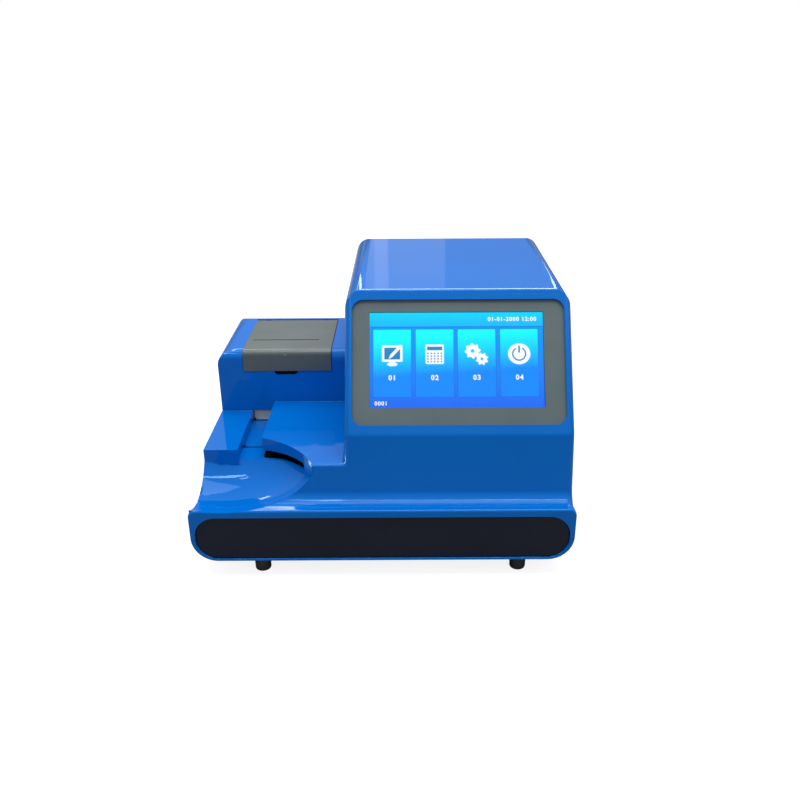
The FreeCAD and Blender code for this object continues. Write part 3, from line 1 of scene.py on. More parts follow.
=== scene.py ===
import bpy
import bmesh
import json
import math
from mathutils import Matrix, Vector


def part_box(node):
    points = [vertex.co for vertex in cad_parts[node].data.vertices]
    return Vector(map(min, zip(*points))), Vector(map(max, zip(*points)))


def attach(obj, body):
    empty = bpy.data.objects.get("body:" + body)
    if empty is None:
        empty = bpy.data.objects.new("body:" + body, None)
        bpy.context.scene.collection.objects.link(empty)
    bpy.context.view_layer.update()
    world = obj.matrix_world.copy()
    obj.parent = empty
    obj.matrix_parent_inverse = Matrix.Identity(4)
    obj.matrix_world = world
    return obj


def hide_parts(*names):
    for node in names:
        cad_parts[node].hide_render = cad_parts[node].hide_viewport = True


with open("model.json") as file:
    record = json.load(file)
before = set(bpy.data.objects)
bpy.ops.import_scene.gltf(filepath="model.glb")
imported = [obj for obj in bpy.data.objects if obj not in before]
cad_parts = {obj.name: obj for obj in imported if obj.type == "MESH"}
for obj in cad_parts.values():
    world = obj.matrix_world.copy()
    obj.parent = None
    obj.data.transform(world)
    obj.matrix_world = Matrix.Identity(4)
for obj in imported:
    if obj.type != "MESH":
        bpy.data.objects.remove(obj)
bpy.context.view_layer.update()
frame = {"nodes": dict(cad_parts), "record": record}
nodes = frame["nodes"]
bodies = frame["record"]["behaviour"]["bodies"]
bodyOfNode = {node: body for body, members in bodies.items() for node in members}
slotOfNode = {part["node"]: part["material_slot"] for part in frame["record"]["subparts"]}
print("solids loaded:", len(nodes))


def pickOnly(piece):
    if bpy.context.object and bpy.context.object.mode != "OBJECT":
        bpy.ops.object.mode_set(mode="OBJECT")
    bpy.ops.object.select_all(action="DESELECT")
    piece.select_set(True)
    bpy.context.view_layer.objects.active = piece


def named(name):
    piece = bpy.context.object
    piece.name = name
    piece.data.name = name
    return piece


def applyModifiers(piece):
    pickOnly(piece)
    for modifier in list(piece.modifiers):
        bpy.ops.object.modifier_apply(modifier=modifier.name)


# paint and plastics

grain = {
    "usualNoise": (0.3, 0.7),   # noise seldom leaves this range
    "blend": (0.35, 0.65),
    "cloudScale": 24.0,
    "cloudDetail": 3.0,
    "fineDetail": 4.0,
    "bumpDistance": 0.0001,
    "shallowBump": 0.00005,
    "brushedScale": 900.0,
    "brushedBlend": (0.3, 0.7),
    "brushedSpread": 0.08,
    "brushedHeight": 0.08,
}


def newMaterial(name, colour, roughness, **values):
    material = bpy.data.materials.new(name)
    material.use_nodes = True
    tree = material.node_tree
    shader = tree.nodes["Principled BSDF"]
    shader.inputs["Base Color"].default_value = (*colour, 1)
    shader.inputs["Roughness"].default_value = roughness
    for key, value in values.items():
        shader.inputs[key].default_value = value
    place = tree.nodes.new("ShaderNodeTexCoord")
    return material, tree, shader, place


def addNoise(tree, place, scale, detail=grain["cloudDetail"], stretch=(1, 1, 1)):
    mapping = tree.nodes.new("ShaderNodeMapping")
    mapping.inputs["Scale"].default_value = stretch
    noise = tree.nodes.new("ShaderNodeTexNoise")
    noise.inputs["Scale"].default_value = scale
    noise.inputs["Detail"].default_value = detail
    tree.links.new(place.outputs["Object"], mapping.inputs["Vector"])
    tree.links.new(mapping.outputs["Vector"], noise.inputs["Vector"])
    return noise.outputs["Fac"]


def blendColour(tree, shader, pattern, reach, colourA, colourB):
    low, high = reach
    ramp = tree.nodes.new("ShaderNodeValToRGB")
    ramp.color_ramp.elements[0].position = low
    ramp.color_ramp.elements[0].color = (*colourA, 1)
    ramp.color_ramp.elements[1].position = high
    ramp.color_ramp.elements[1].color = (*colourB, 1)
    tree.links.new(pattern, ramp.inputs["Fac"])
    tree.links.new(ramp.outputs["Color"], shader.inputs["Base Color"])


def varyRoughness(tree, shader, pattern, low, high):
    spread = tree.nodes.new("ShaderNodeMapRange")
    spread.inputs["From Min"].default_value = grain["usualNoise"][0]
    spread.inputs["From Max"].default_value = grain["usualNoise"][1]
    spread.inputs["To Min"].default_value = low
    spread.inputs["To Max"].default_value = high
    tree.links.new(pattern, spread.inputs["Value"])
    tree.links.new(spread.outputs["Result"], shader.inputs["Roughness"])


def addBump(tree, shader, pattern, strength, distance):
    bump = tree.nodes.new("ShaderNodeBump")
    bump.inputs["Strength"].default_value = strength
    bump.inputs["Distance"].default_value = distance
    tree.links.new(pattern, bump.inputs["Height"])
    tree.links.new(bump.outputs["Normal"], shader.inputs["Normal"])


shellPaint = {
    "colour": (0.0, 0.150, 0.60),
    "thinner": (0.0, 0.141, 0.57),
    "shine": (0.40, 0.72, 1.0, 1.0),
    "gloss": 0.40,
    "smooth": 0.03,
    "dull": 0.06,
    "cloudScale": 9.0,
    "cloudDetail": 2.0,
    "wipeScale": 55.0,
    "wipeStretch": (1, 1, 0.3),
    "waveScale": 130.0,
    "waveDetail": 1.5,
    "waveHeight": 0.035,
    "waveDistance": 0.0002,
}


def makeShellPaint():
    material, tree, shader, place = newMaterial("shellBlue", shellPaint["colour"], shellPaint["smooth"])
    shader.inputs["Specular IOR Level"].default_value = shellPaint["gloss"]
    shader.inputs["Specular Tint"].default_value = shellPaint["shine"]
    clouds = addNoise(tree, place, shellPaint["cloudScale"], shellPaint["cloudDetail"])
    blendColour(tree, shader, clouds, grain["blend"], shellPaint["thinner"], shellPaint["colour"])
    wiping = addNoise(tree, place, shellPaint["wipeScale"], grain["fineDetail"], shellPaint["wipeStretch"])
    varyRoughness(tree, shader, wiping, shellPaint["smooth"], shellPaint["dull"])
    waves = addNoise(tree, place, shellPaint["waveScale"], shellPaint["waveDetail"])   # thick gloss paint
    addBump(tree, shader, waves, shellPaint["waveHeight"], shellPaint["waveDistance"])
    return material


def makePlastic(name, colour, darker, roughness, spread, fineScale, height, **values):
    material, tree, shader, place = newMaterial(name, colour, roughness, **values)
    clouds = addNoise(tree, place, grain["cloudScale"])
    blendColour(tree, shader, clouds, grain["blend"], darker, colour)
    fine = addNoise(tree, place, fineScale, grain["fineDetail"])
    varyRoughness(tree, shader, fine, roughness - spread, roughness + spread)
    addBump(tree, shader, fine, height, grain["bumpDistance"])
    return material


def makeBrushed(name, colour, darker, roughness, stretch):
    material, tree, shader, place = newMaterial(name, colour, roughness, Metallic=1.0)
    spread = grain["brushedSpread"]
    lines = addNoise(tree, place, grain["brushedScale"], stretch=stretch)
    blendColour(tree, shader, lines, grain["brushedBlend"], darker, colour)
    varyRoughness(tree, shader, lines, roughness - spread, roughness + spread)
    addBump(tree, shader, lines, grain["brushedHeight"], grain["shallowBump"])
    return material


circuitLook = {
    "mask": (0.010, 0.105, 0.045),
    "track": (0.035, 0.21, 0.095),
    "trackScale": 260.0,
    "trackWidth": 0.035,
    "trackSoft": 0.2,
    "trackHeight": 0.15,
    "dustScale": 300.0,
    "roughness": 0.32,
    "spread": 0.08,
}


def makeCircuitGreen():
    material, tree, shader, place = newMaterial("circuitGreen", circuitLook["mask"], circuitLook["roughness"])
    tracks = tree.nodes.new("ShaderNodeTexBrick")
    tracks.inputs["Scale"].default_value = circuitLook["trackScale"]
    tracks.inputs["Mortar Size"].default_value = circuitLook["trackWidth"]
    tracks.inputs["Mortar Smooth"].default_value = circuitLook["trackSoft"]
    tracks.inputs["Color1"].default_value = (*circuitLook["mask"], 1)
    tracks.inputs["Color2"].default_value = (*circuitLook["mask"], 1)
    tracks.inputs["Mortar"].default_value = (*circuitLook["track"], 1)
    tree.links.new(place.outputs["Object"], tracks.inputs["Vector"])
    tree.links.new(tracks.outputs["Color"], shader.inputs["Base Color"])
    dust = addNoise(tree, place, circuitLook["dustScale"])
    roughness, spread = circuitLook["roughness"], circuitLook["spread"]
    varyRoughness(tree, shader, dust, roughness - spread, roughness + spread)
    addBump(tree, shader, tracks.outputs["Fac"], circuitLook["trackHeight"], grain["shallowBump"])
    return material


paperLook = {
    "colour": (0.80, 0.80, 0.78),
    "edge": (0.66, 0.66, 0.64),
    "roughness": 0.6,
    "spread": 0.1,
    "turnScale": 1400.0,
    "turnWobble": 0.4,
    "turnBlend": (0.0, 0.6),
    "fibreScale": 900.0,
    "fibreHeight": 0.15,
}


def makeThermalPaper():
    material, tree, shader, place = newMaterial("thermalPaper", paperLook["colour"], paperLook["roughness"])
    low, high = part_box("paper_roll")
    mapping = tree.nodes.new("ShaderNodeMapping")
    mapping.inputs["Location"].default_value = (0, -(low[1] + high[1]) / 2, -(low[2] + high[2]) / 2)
    turns = tree.nodes.new("ShaderNodeTexWave")   # the wound layers, seen on the ends of the roll
    turns.wave_type = "RINGS"
    turns.rings_direction = "X"
    turns.inputs["Scale"].default_value = paperLook["turnScale"]
    turns.inputs["Distortion"].default_value = paperLook["turnWobble"]
    tree.links.new(place.outputs["Object"], mapping.inputs["Vector"])
    tree.links.new(mapping.outputs["Vector"], turns.inputs["Vector"])
    ends = turns.outputs["Fac"]
    blendColour(tree, shader, ends, paperLook["turnBlend"], paperLook["edge"], paperLook["colour"])
    fibre = addNoise(tree, place, paperLook["fibreScale"])
    roughness, spread = paperLook["roughness"], paperLook["spread"]
    varyRoughness(tree, shader, fibre, roughness - spread, roughness + spread)
    addBump(tree, shader, fibre, paperLook["fibreHeight"], grain["shallowBump"])
    return material


tableLook = {
    "colour": (0.0, 0.150, 0.57),
    "thinner": (0.0, 0.135, 0.51),
    # painted shade: the near-black colour of the table's part that lies in shade under the platform
    "paintedShade": (0.006, 0.007, 0.009),
    "paintedShadeFrom": -0.1135,
    "softOver": 0.0005,
    "roughness": 0.22,
    "spread": 0.05,
    "fineScale": 700.0,
    "fineHeight": 0.08,
}


def makeTablePlastic():
    # blue where the strip is laid down; under the platform a near-black painted shade stands in for the shade
    # that the platform casts there
    material, tree, shader, place = newMaterial("tablePlastic", tableLook["colour"], tableLook["roughness"])
    clouds = addNoise(tree, place, grain["cloudScale"])
    blendColour(tree, shader, clouds, grain["blend"], tableLook["thinner"], tableLook["colour"])
    split = tree.nodes.new("ShaderNodeSeparateXYZ")
    shadeRamp = tree.nodes.new("ShaderNodeMapRange")
    shadeRamp.inputs["From Min"].default_value = tableLook["paintedShadeFrom"]
    shadeRamp.inputs["From Max"].default_value = tableLook["paintedShadeFrom"] + tableLook["softOver"]
    # mixes the painted shade over the blue from this x onward, under the platform
    shadeMix = tree.nodes.new("ShaderNodeMix")
    shadeMix.data_type = "RGBA"   # as a colour mix it takes sockets 6 and 7 and gives socket 2
    blue = shader.inputs["Base Color"].links[0].from_socket
    shadeMix.inputs[7].default_value = (*tableLook["paintedShade"], 1)
    tree.links.new(place.outputs["Object"], split.inputs["Vector"])
    tree.links.new(split.outputs["X"], shadeRamp.inputs["Value"])
    tree.links.new(shadeRamp.outputs["Result"], shadeMix.inputs[0])
    tree.links.new(blue, shadeMix.inputs[6])
    tree.links.new(shadeMix.outputs[2], shader.inputs["Base Color"])
    fine = addNoise(tree, place, tableLook["fineScale"], grain["fineDetail"])
    roughness, spread = tableLook["roughness"], tableLook["spread"]
    varyRoughness(tree, shader, fine, roughness - spread, roughness + spread)
    addBump(tree, shader, fine, tableLook["fineHeight"], grain["bumpDistance"])
    return material


clear = {"Transmission Weight": 1.0, "IOR": 1.1}
lens = {"Transmission Weight": 1.0, "IOR": 1.5}
deep = {"Specular IOR Level": 0.32}
slotLooks = {
    "blue_shell": makeShellPaint(),
    "panel_black": makePlastic(
        "panelBlack", colour=(0.004, 0.008, 0.026), darker=(0.003, 0.007, 0.021),
        roughness=0.08, spread=0.03, fineScale=90.0, height=0.02, **deep,
    ),
    "bezel_grey": makePlastic(
        "bezelGrey", colour=(0.108, 0.152, 0.166), darker=(0.098, 0.140, 0.153),
        roughness=0.48, spread=0.05, fineScale=1500.0, height=0.25,
    ),
    "lid_grey": makePlastic(
        "lidGrey", colour=(0.108, 0.134, 0.132), darker=(0.096, 0.121, 0.119),
        roughness=0.20, spread=0.05, fineScale=1300.0, height=0.16,
    ),
    "clear_glass": makePlastic(
        "clearGlass", colour=(1.0, 1.0, 1.0), darker=(0.97, 0.99, 1.0),
        roughness=0.03, spread=0.01, fineScale=40.0, height=0.0, **clear,
    ),
    "display": makePlastic(
        "displayCase", colour=(0.03, 0.03, 0.035), darker=(0.02, 0.02, 0.025),
        roughness=0.4, spread=0.05, fineScale=600.0, height=0.1,
    ),
    "circuit_board": makeCircuitGreen(),
    "ivory_plastic": makePlastic(
        "ivoryPlastic", colour=(0.86, 0.83, 0.70), darker=(0.80, 0.77, 0.64),
        roughness=0.45, spread=0.06, fineScale=700.0, height=0.15,
    ),
    "black_plastic": makePlastic(
        "blackPlastic", colour=(0.018, 0.018, 0.020), darker=(0.012, 0.012, 0.014),
        roughness=0.42, spread=0.07, fineScale=900.0, height=0.2,
    ),
    "white_plastic": makePlastic(
        "whitePlastic", colour=(0.72, 0.72, 0.69), darker=(0.66, 0.66, 0.63),
        roughness=0.4, spread=0.06, fineScale=700.0, height=0.1,
    ),
    "table_plastic": makeTablePlastic(),
    "black_rubber": makePlastic(
        "blackRubber", colour=(0.040, 0.040, 0.045), darker=(0.030, 0.030, 0.034),
        roughness=0.35, spread=0.06, fineScale=800.0, height=0.15,
    ),
    "platen_rubber": makePlastic(
        "platenRubber", colour=(0.05, 0.05, 0.052), darker=(0.035, 0.035, 0.037),
        roughness=0.6, spread=0.08, fineScale=1200.0, height=0.2,
    ),
    "steel": makeBrushed(
        "turnedSteel", colour=(0.62, 0.62, 0.63), darker=(0.52, 0.52, 0.53),
        roughness=0.24, stretch=(0.02, 1, 1),
    ),
    "zinc_steel": makeBrushed(
        "zincSteel", colour=(0.58, 0.59, 0.60), darker=(0.48, 0.49, 0.51),
        roughness=0.36, stretch=(0.2, 0.2, 0.2),
    ),
    "aluminium": makeBrushed(
        "milledAluminium", colour=(0.76, 0.77, 0.78), darker=(0.66, 0.67, 0.68),
        roughness=0.3, stretch=(0.02, 1, 1),
    ),
    "motor_metal": makePlastic(
        "motorBlack", colour=(0.03, 0.03, 0.032), darker=(0.02, 0.02, 0.022),
        roughness=0.38, spread=0.06, fineScale=600.0, height=0.15,
    ),
    "thermal_paper": makeThermalPaper(),
    "ceramic_head": makePlastic(
        "glazedCeramic", colour=(0.62, 0.58, 0.48), darker=(0.56, 0.52, 0.42),
        roughness=0.2, spread=0.04, fineScale=500.0, height=0.05,
    ),
    "lens_glass": makePlastic(
        "lensGlass", colour=(0.9, 0.93, 0.97), darker=(0.85, 0.9, 0.95),
        roughness=0.05, spread=0.02, fineScale=60.0, height=0.0, **lens,
    ),
    "brass": makeBrushed(
        "cutBrass", colour=(0.62, 0.45, 0.19), darker=(0.52, 0.37, 0.15),
        roughness=0.3, stretch=(1, 0.1, 1),
    ),
}
print("finishes ready:", len(slotLooks))


# the solids, with merged points and even shading

skin = {"mergeWithin": 0.000002, "flatWithin": 0.05, "smoothUnder": 24}


def dressNode(node):
    piece = bpy.data.objects.new(node + "_skin", nodes[node].data.copy())
    bpy.context.scene.collection.objects.link(piece)
    pickOnly(piece)
    bpy.ops.object.mode_set(mode="EDIT")
    bpy.ops.mesh.select_all(action="SELECT")
    bpy.ops.mesh.remove_doubles(threshold=skin["mergeWithin"])
    bpy.ops.mesh.dissolve_limited(angle_limit=math.radians(skin["flatWithin"]))
    bpy.ops.object.mode_set(mode="OBJECT")
    bpy.ops.object.shade_smooth_by_angle(angle=math.radians(skin["smoothUnder"]))
    even = piece.modifiers.new("evenShading", "WEIGHTED_NORMAL")
    even.keep_sharp = True
    applyModifiers(piece)
    piece.data.materials.clear()
    piece.data.materials.append(slotLooks[slotOfNode[node]])
    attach(piece, bodyOfNode[node])
    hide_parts(node)
    return piece


for node in sorted(nodes):
    dressNode(node)
print("solids dressed")


# flat shapes for the screen: drawn lying at height zero, then thickened and put on the leaning screen

screen = {
    "lean": 31.3,
    "moduleDepth": 0.006,
    "rim": 0.004,
    "width": 0.1541,
    "height": 0.0859,
    "corner": 0.0008,
    "stripCorner": 0.0003,
    "layer": 0.0001,
    "lift": 0.00004,
}


def onScreenPlace():
    low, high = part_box("display_module")
    lean = math.radians(screen["lean"])
    right = Vector((1, 0, 0))
    up = Vector((0, math.sin(lean), math.cos(lean)))
    out = right.cross(up)
    foot = Vector((low[0], low[1], low[2] + screen["moduleDepth"] * math.sin(lean)))
    start = foot + right * screen["rim"] + up * screen["rim"]
    return Matrix((
        (right.x, up.x, out.x, start.x),
        (right.y, up.y, out.y, start.y),
        (right.z, up.z, out.z, start.z),
        (0, 0, 0, 1),
    ))


def selectWhere(piece, kind, test):
    # kind is "VERT", "EDGE" or "FACE"; the test gets the middle of each
    bpy.ops.mesh.select_mode(type=kind)
    bpy.ops.mesh.select_all(action="DESELECT")
    mesh = bmesh.from_edit_mesh(piece.data)
    if kind == "VERT":
        for vertex in mesh.verts:
            vertex.select_set(test(vertex.co))
    if kind == "EDGE":
        for edge in mesh.edges:
            edge.select_set(test((edge.verts[0].co + edge.verts[1].co) / 2))
    if kind == "FACE":
        for face in mesh.faces:
            face.select_set(test(face.calc_center_median()))
    mesh.select_flush_mode()
    bmesh.update_edit_mesh(piece.data)


def thicken(piece):
    bpy.ops.mesh.select_mode(type="FACE")
    bpy.ops.mesh.select_all(action="SELECT")
    bpy.ops.mesh.extrude_region_move(TRANSFORM_OT_translate={"value": (0, 0, screen["layer"])})
    bpy.ops.mesh.select_all(action="SELECT")
    bpy.ops.mesh.normals_make_consistent(inside=False)
    bpy.ops.object.mode_set(mode="OBJECT")
    return piece


def moved(piece, x, y, turn=0.0):
    pickOnly(piece)
    piece.matrix_world = Matrix.Translation((x, y, 0)) @ Matrix.Rotation(math.radians(turn), 4, "Z")
    bpy.ops.object.transform_apply(location=True, rotation=True, scale=True)
    return piece


def joined(name, pieces):
    bpy.ops.object.select_all(action="DESELECT")
    for piece in pieces:
        piece.select_set(True)
    bpy.context.view_layer.objects.active = pieces[0]
    bpy.ops.object.join()
    return named(name)


def copied(piece, name):
    twin = bpy.data.objects.new(name, piece.data.copy())
    twin.data.name = name
    bpy.context.scene.collection.objects.link(twin)
    return twin


def sheetShape(name, width, height, corner=0.0, border=0.0):
    # a rounded oblong round the origin; a border leaves only a frame of that width
    bpy.ops.object.select_all(action="DESELECT")
    bpy.ops.mesh.primitive_plane_add(size=1, location=(0, 0, 0))
    bpy.context.object.scale = (width, height, 1)
    bpy.ops.object.transform_apply(location=True, rotation=True, scale=True)
    piece = named(name)
    bpy.ops.object.mode_set(mode="EDIT")
    bpy.ops.mesh.select_all(action="SELECT")
    if corner > 0:
        bpy.ops.mesh.bevel(offset=corner, segments=4, affect="VERTICES")
    if border > 0:
        bpy.ops.mesh.select_mode(type="FACE")
        bpy.ops.mesh.select_all(action="SELECT")
        bpy.ops.mesh.inset(thickness=border)
        bpy.ops.mesh.delete(type="FACE")
    return thicken(piece)


def discShape(name, radius, hole=0.0, gapHalf=0.0, teeth=0, tip=0.0, tipShares=(0.35, 0.9), flat=1.0):
    # a disc round the origin; it may have a hole, a gap at the top, teeth, or be flattened
    bpy.ops.object.select_all(action="DESELECT")
    count = teeth * 4 if teeth else 48
    bpy.ops.mesh.primitive_circle_add(vertices=count, radius=radius, fill_type="NGON", location=(0, 0, 0))
    piece = named(name)
    bpy.ops.object.mode_set(mode="EDIT")
    bpy.ops.mesh.select_mode(type="FACE")
    bpy.ops.mesh.select_all(action="SELECT")
    if hole > 0:
        bpy.ops.mesh.inset(thickness=(radius - hole) * math.cos(math.pi / count))
        bpy.ops.mesh.delete(type="FACE")
    if gapHalf > 0:
        selectWhere(piece, "FACE", lambda at: abs(math.degrees(math.atan2(at.x, at.y))) < gapHalf)
        bpy.ops.mesh.delete(type="FACE")
    if teeth:
        step = 360 / teeth
        def onTip(at):
            turn = math.degrees(math.atan2(at.y, at.x)) % step / step
            return at.length > (radius + hole) / 2 and (turn < tipShares[0] or turn > tipShares[1])
        selectWhere(piece, "VERT", onTip)
        bpy.ops.transform.resize(value=(tip / radius, tip / radius, 1), center_override=(0, 0, 0))
    bpy.ops.mesh.select_all(action="SELECT")
    bpy.ops.transform.resize(value=(1, flat, 1), center_override=(0, 0, 0))
    return thicken(piece)


def penShape(name, length, width, point, pointShare):
    bpy.ops.object.select_all(action="DESELECT")
    bpy.ops.mesh.primitive_plane_add(size=1, location=(0, 0, 0))
    bpy.context.object.scale = (length, width, 1)
    bpy.ops.object.transform_apply(location=True, rotation=True, scale=True)
    piece = named(name)
    bpy.ops.object.mode_set(mode="EDIT")
    selectWhere(piece, "EDGE", lambda at: at.x < -length / 2 + width / 2)   # the end that gets the point
    bpy.ops.mesh.extrude_region_move(TRANSFORM_OT_translate={"value": (-point, 0, 0)})
    bpy.ops.transform.resize(value=(1, pointShare, 1), center_override=(-length / 2 - point, 0, 0))
    return thicken(piece)


lettering = {"spacing": 1.2, "curveSteps": 3, "mergeWithin": 0.000001}


def numberShape(name, words, size, boldness, align="CENTER"):
    bpy.ops.object.select_all(action="DESELECT")
    bpy.ops.object.text_add(location=(0, 0, 0))
    text = bpy.context.object
    text.data.body = words
    text.data.size = size
    text.data.align_x = align
    text.data.offset = boldness
    text.data.space_character = lettering["spacing"]
    text.data.resolution_u = lettering["curveSteps"]
    text.data.extrude = screen["layer"] / 2
    bpy.ops.object.convert(target="MESH")
    piece = named(name)
    bpy.ops.object.mode_set(mode="EDIT")
    bpy.ops.mesh.select_all(action="SELECT")
    bpy.ops.mesh.remove_doubles(threshold=lettering["mergeWithin"])
    bpy.ops.transform.translate(value=(0, 0, screen["layer"] / 2))
    bpy.ops.mesh.normals_make_consistent(inside=False)
    bpy.ops.object.mode_set(mode="OBJECT")
    return piece


def onScreen(piece, glow, layer):
    pickOnly(piece)
    lift = Matrix.Translation((0, 0, screen["lift"] + layer * screen["layer"]))
    piece.matrix_world = onScreenPlace() @ lift
    bpy.ops.object.transform_apply(location=True, rotation=True, scale=True)
    piece.data.materials.clear()
    piece.data.materials.append(glow)
    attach(piece, bodyOfNode["display_module"])
    return piece


def makeGlow(name, lowColour, highColour, lowShare, highShare, strength=1.0, sideways=0.0):
    # lit picture whose colour runs from low to high over a part of the screen's height
    low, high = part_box("display_module")
    tall = high[2] - low[2]
    material, tree, shader, place = newMaterial(name, (0.01, 0.01, 0.01), 0.3)
    shader.inputs["Specular IOR Level"].default_value = 0.1
    shader.inputs["Emission Strength"].default_value = strength
    split = tree.nodes.new("ShaderNodeSeparateXYZ")
    slant = tree.nodes.new("ShaderNodeMath")
    slant.operation = "MULTIPLY_ADD"
    slant.inputs[1].default_value = sideways
    spread = tree.nodes.new("ShaderNodeMapRange")
    spread.inputs["From Min"].default_value = low[2] + tall * lowShare
    spread.inputs["From Max"].default_value = low[2] + tall * highShare
    ramp = tree.nodes.new("ShaderNodeValToRGB")
    ramp.color_ramp.elements[0].color = (*lowColour, 1)
    ramp.color_ramp.elements[1].color = (*highColour, 1)
    tree.links.new(place.outputs["Object"], split.inputs["Vector"])
    tree.links.new(split.outputs["X"], slant.inputs[0])
    tree.links.new(split.outputs["Z"], slant.inputs[2])
    tree.links.new(slant.outputs["Value"], spread.inputs["Value"])
    tree.links.new(spread.outputs["Result"], ramp.inputs["Fac"])
    tree.links.new(ramp.outputs["Color"], shader.inputs["Emission Color"])
    return material


backGlow = makeGlow("screenBack", (0.01, 0.15, 0.92), (0.0, 0.36, 0.95), 0.10, 0.95)
tileGlow = makeGlow("screenTile", (0.0, 0.23, 1.0), (0.0, 0.90, 1.0), 0.36, 0.72, 1.12, -0.05)
headGlow = makeGlow("screenHead", (0.0, 0.48, 1.0), (0.0, 0.68, 1.0), 0.86, 0.97, 1.08)
lineGlow = makeGlow("screenLine", (0.01, 0.13, 0.70), (0.0, 0.26, 0.75), 0.05, 0.95)
whiteGlow = makeGlow("screenWhite", (0.92, 0.97, 1.0), (1.0, 1.0, 1.0), 0.1, 0.9)
markGlow = makeGlow("screenMark", (0.03, 0.16, 0.50), (0.0, 0.30, 0.62), 0.4, 0.7)

header = {"low": 0.0735, "ruleLow": 0.0722, "ruleHigh": 0.0733, "side": 0.001}
tiles = {
    "lefts": (0.0032, 0.0408, 0.0781, 0.1157),
    "width": 0.0335,
    "low": 0.0102,
    "high": 0.0706,
    "line": 0.0006,
    "corner": 0.0006,
}
middles = [left + tiles["width"] / 2 for left in tiles["lefts"]]


def screenOblong(name, left, right, low, high, glow, layer, corner=screen["stripCorner"]):
    piece = sheetShape(name, right - left, high - low, corner)
    return onScreen(moved(piece, (left + right) / 2, (low + high) / 2), glow, layer)


def drawTiles():
    low, high, line = tiles["low"], tiles["high"], tiles["line"]
    tall = high - low
    edge = sheetShape("tileEdge", tiles["width"] + 2 * line, tall + 2 * line, screen["stripCorner"])
    face = sheetShape("tileFace", tiles["width"], tall, tiles["corner"])
    for number, x in enumerate(middles, 1):
        onScreen(moved(copied(edge, "tileLine%d" % number), x, (low + high) / 2), lineGlow, 1)
        onScreen(moved(copied(face, "tile%d" % number), x, (low + high) / 2), tileGlow, 2)
    bpy.data.objects.remove(edge)
    bpy.data.objects.remove(face)


wide, tall = screen["width"], screen["height"]
ruleEnds = (header["side"], wide - header["side"])
screenOblong("screenPanel", 0, wide, 0, tall, backGlow, 0, screen["corner"])
screenOblong("screenHeader", 0, wide, header["low"], tall, headGlow, 1, screen["corner"])
screenOblong("screenRule", *ruleEnds, header["ruleLow"], header["ruleHigh"], lineGlow, 1)
drawTiles()
print("screen tiles drawn")


# the four pictograms: a monitor with a pen, a calculator, two gears and a power ring

icons = {"height": 0.0482, "numberHeight": 0.0252, "numberSize": 0.0062, "numberBoldness": 0.00020}
smallWords = {"size": 0.0050, "boldness": 0.00013}
clock = {"words": "01-01-2000 12:00", "fromRight": 0.0058, "height": 0.0781}
footer = {"words": "0001", "fromLeft": 0.0042, "height": 0.0028}
monitor = {
    "width": 0.0182,
    "height": 0.0148,
    "border": 0.0021,
    "corner": 0.0008,
    "up": 0.0008,
    "neck": (0.0046, 0.0030),
    "neckLap": 0.0002,
    "baseRadius": 0.0046,
    "baseFlat": 0.38,
    "baseDown": 0.0088,
    "penLength": 0.0125,
    "penWidth": 0.0028,
    "penPoint": 0.0034,
    "penPointShare": 0.2,
    "penTurn": 47,
    "penAt": (0.0036, 0.0034),
}
calculator = {
    "width": 0.0162,
    "height": 0.0176,
    "corner": 0.0010,
    "windowSize": (0.0134, 0.0032),
    "windowUp": 0.0052,
    "windowCorner": 0.0003,
    "keySize": (0.0014, 0.0012),
    "keyCorner": 0.0002,
    "columns": 5,
    "rows": 4,
    "pitch": (0.0030, 0.0025),
    "keysDown": 0.0030,
}
gears = {
    "bigAt": (-0.0036, 0.0028),
    "bigRoot": 0.0056,
    "bigTip": 0.0070,
    "bigHole": 0.0017,
    "smallAt": (0.0046, -0.0044),
    "smallRoot": 0.0044,
    "smallTip": 0.0057,
    "smallHole": 0.0013,
    "bigTurn": 0,
    "smallTurn": 12,
    "teeth": 8,
}
power = {
    "radius": 0.0099,
    "flat": 0.95,
    "ringOuter": 0.0063,
    "ringInner": 0.0051,
    "gapHalf": 28,
    "bar": (0.0015, 0.0062),
    "barCorner": 0.0003,
    "barUp": 0.0042,
}


def drawMonitor(x, y):
    wide, tall, border = monitor["width"], monitor["height"], monitor["border"]
    case = sheetShape("monitorFrame", wide, tall, monitor["corner"], border)
    moved(case, x, y + monitor["up"])
    neckWidth, neckHeight = monitor["neck"]
    neckY = y + monitor["up"] - tall / 2 - neckHeight / 2 + monitor["neckLap"]
    neck = moved(sheetShape("monitorNeck", neckWidth, neckHeight), x, neckY)
    base = discShape("monitorBase", monitor["baseRadius"], flat=monitor["baseFlat"])
    moved(base, x, y - monitor["baseDown"])
    penX, penY = monitor["penAt"]
    point, pointShare = monitor["penPoint"], monitor["penPointShare"]
    pen = penShape("monitorPen", monitor["penLength"], monitor["penWidth"], point, pointShare)
    moved(pen, x + penX, y + penY, monitor["penTurn"])
    glass = sheetShape("monitorGlass", wide - border, tall - border)
    onScreen(moved(glass, x, y + monitor["up"]), markGlow, 3)
    onScreen(joined("monitorIcon", [case, neck, base, pen]), whiteGlow, 4)


def drawCalculator(x, y):
    body = sheetShape("calculatorIcon", calculator["width"], calculator["height"], calculator["corner"])
    onScreen(moved(body, x, y), whiteGlow, 3)
    window = sheetShape("calculatorWindow", *calculator["windowSize"], calculator["windowCorner"])
    dark = [moved(window, x, y + calculator["windowUp"])]
    key = sheetShape("calculatorKey", *calculator["keySize"], calculator["keyCorner"])
    stepX, stepY = calculator["pitch"]
    for column in range(calculator["columns"]):
        for row in range(calculator["rows"]):
            keyX = x + (column - (calculator["columns"] - 1) / 2) * stepX
            keyY = y - calculator["keysDown"] + (row - (calculator["rows"] - 1) / 2) * stepY
            dark.append(moved(copied(key, "calculatorKey%d%d" % (column, row)), keyX, keyY))
    bpy.data.objects.remove(key)
    onScreen(joined("calculatorKeys", dark), markGlow, 4)


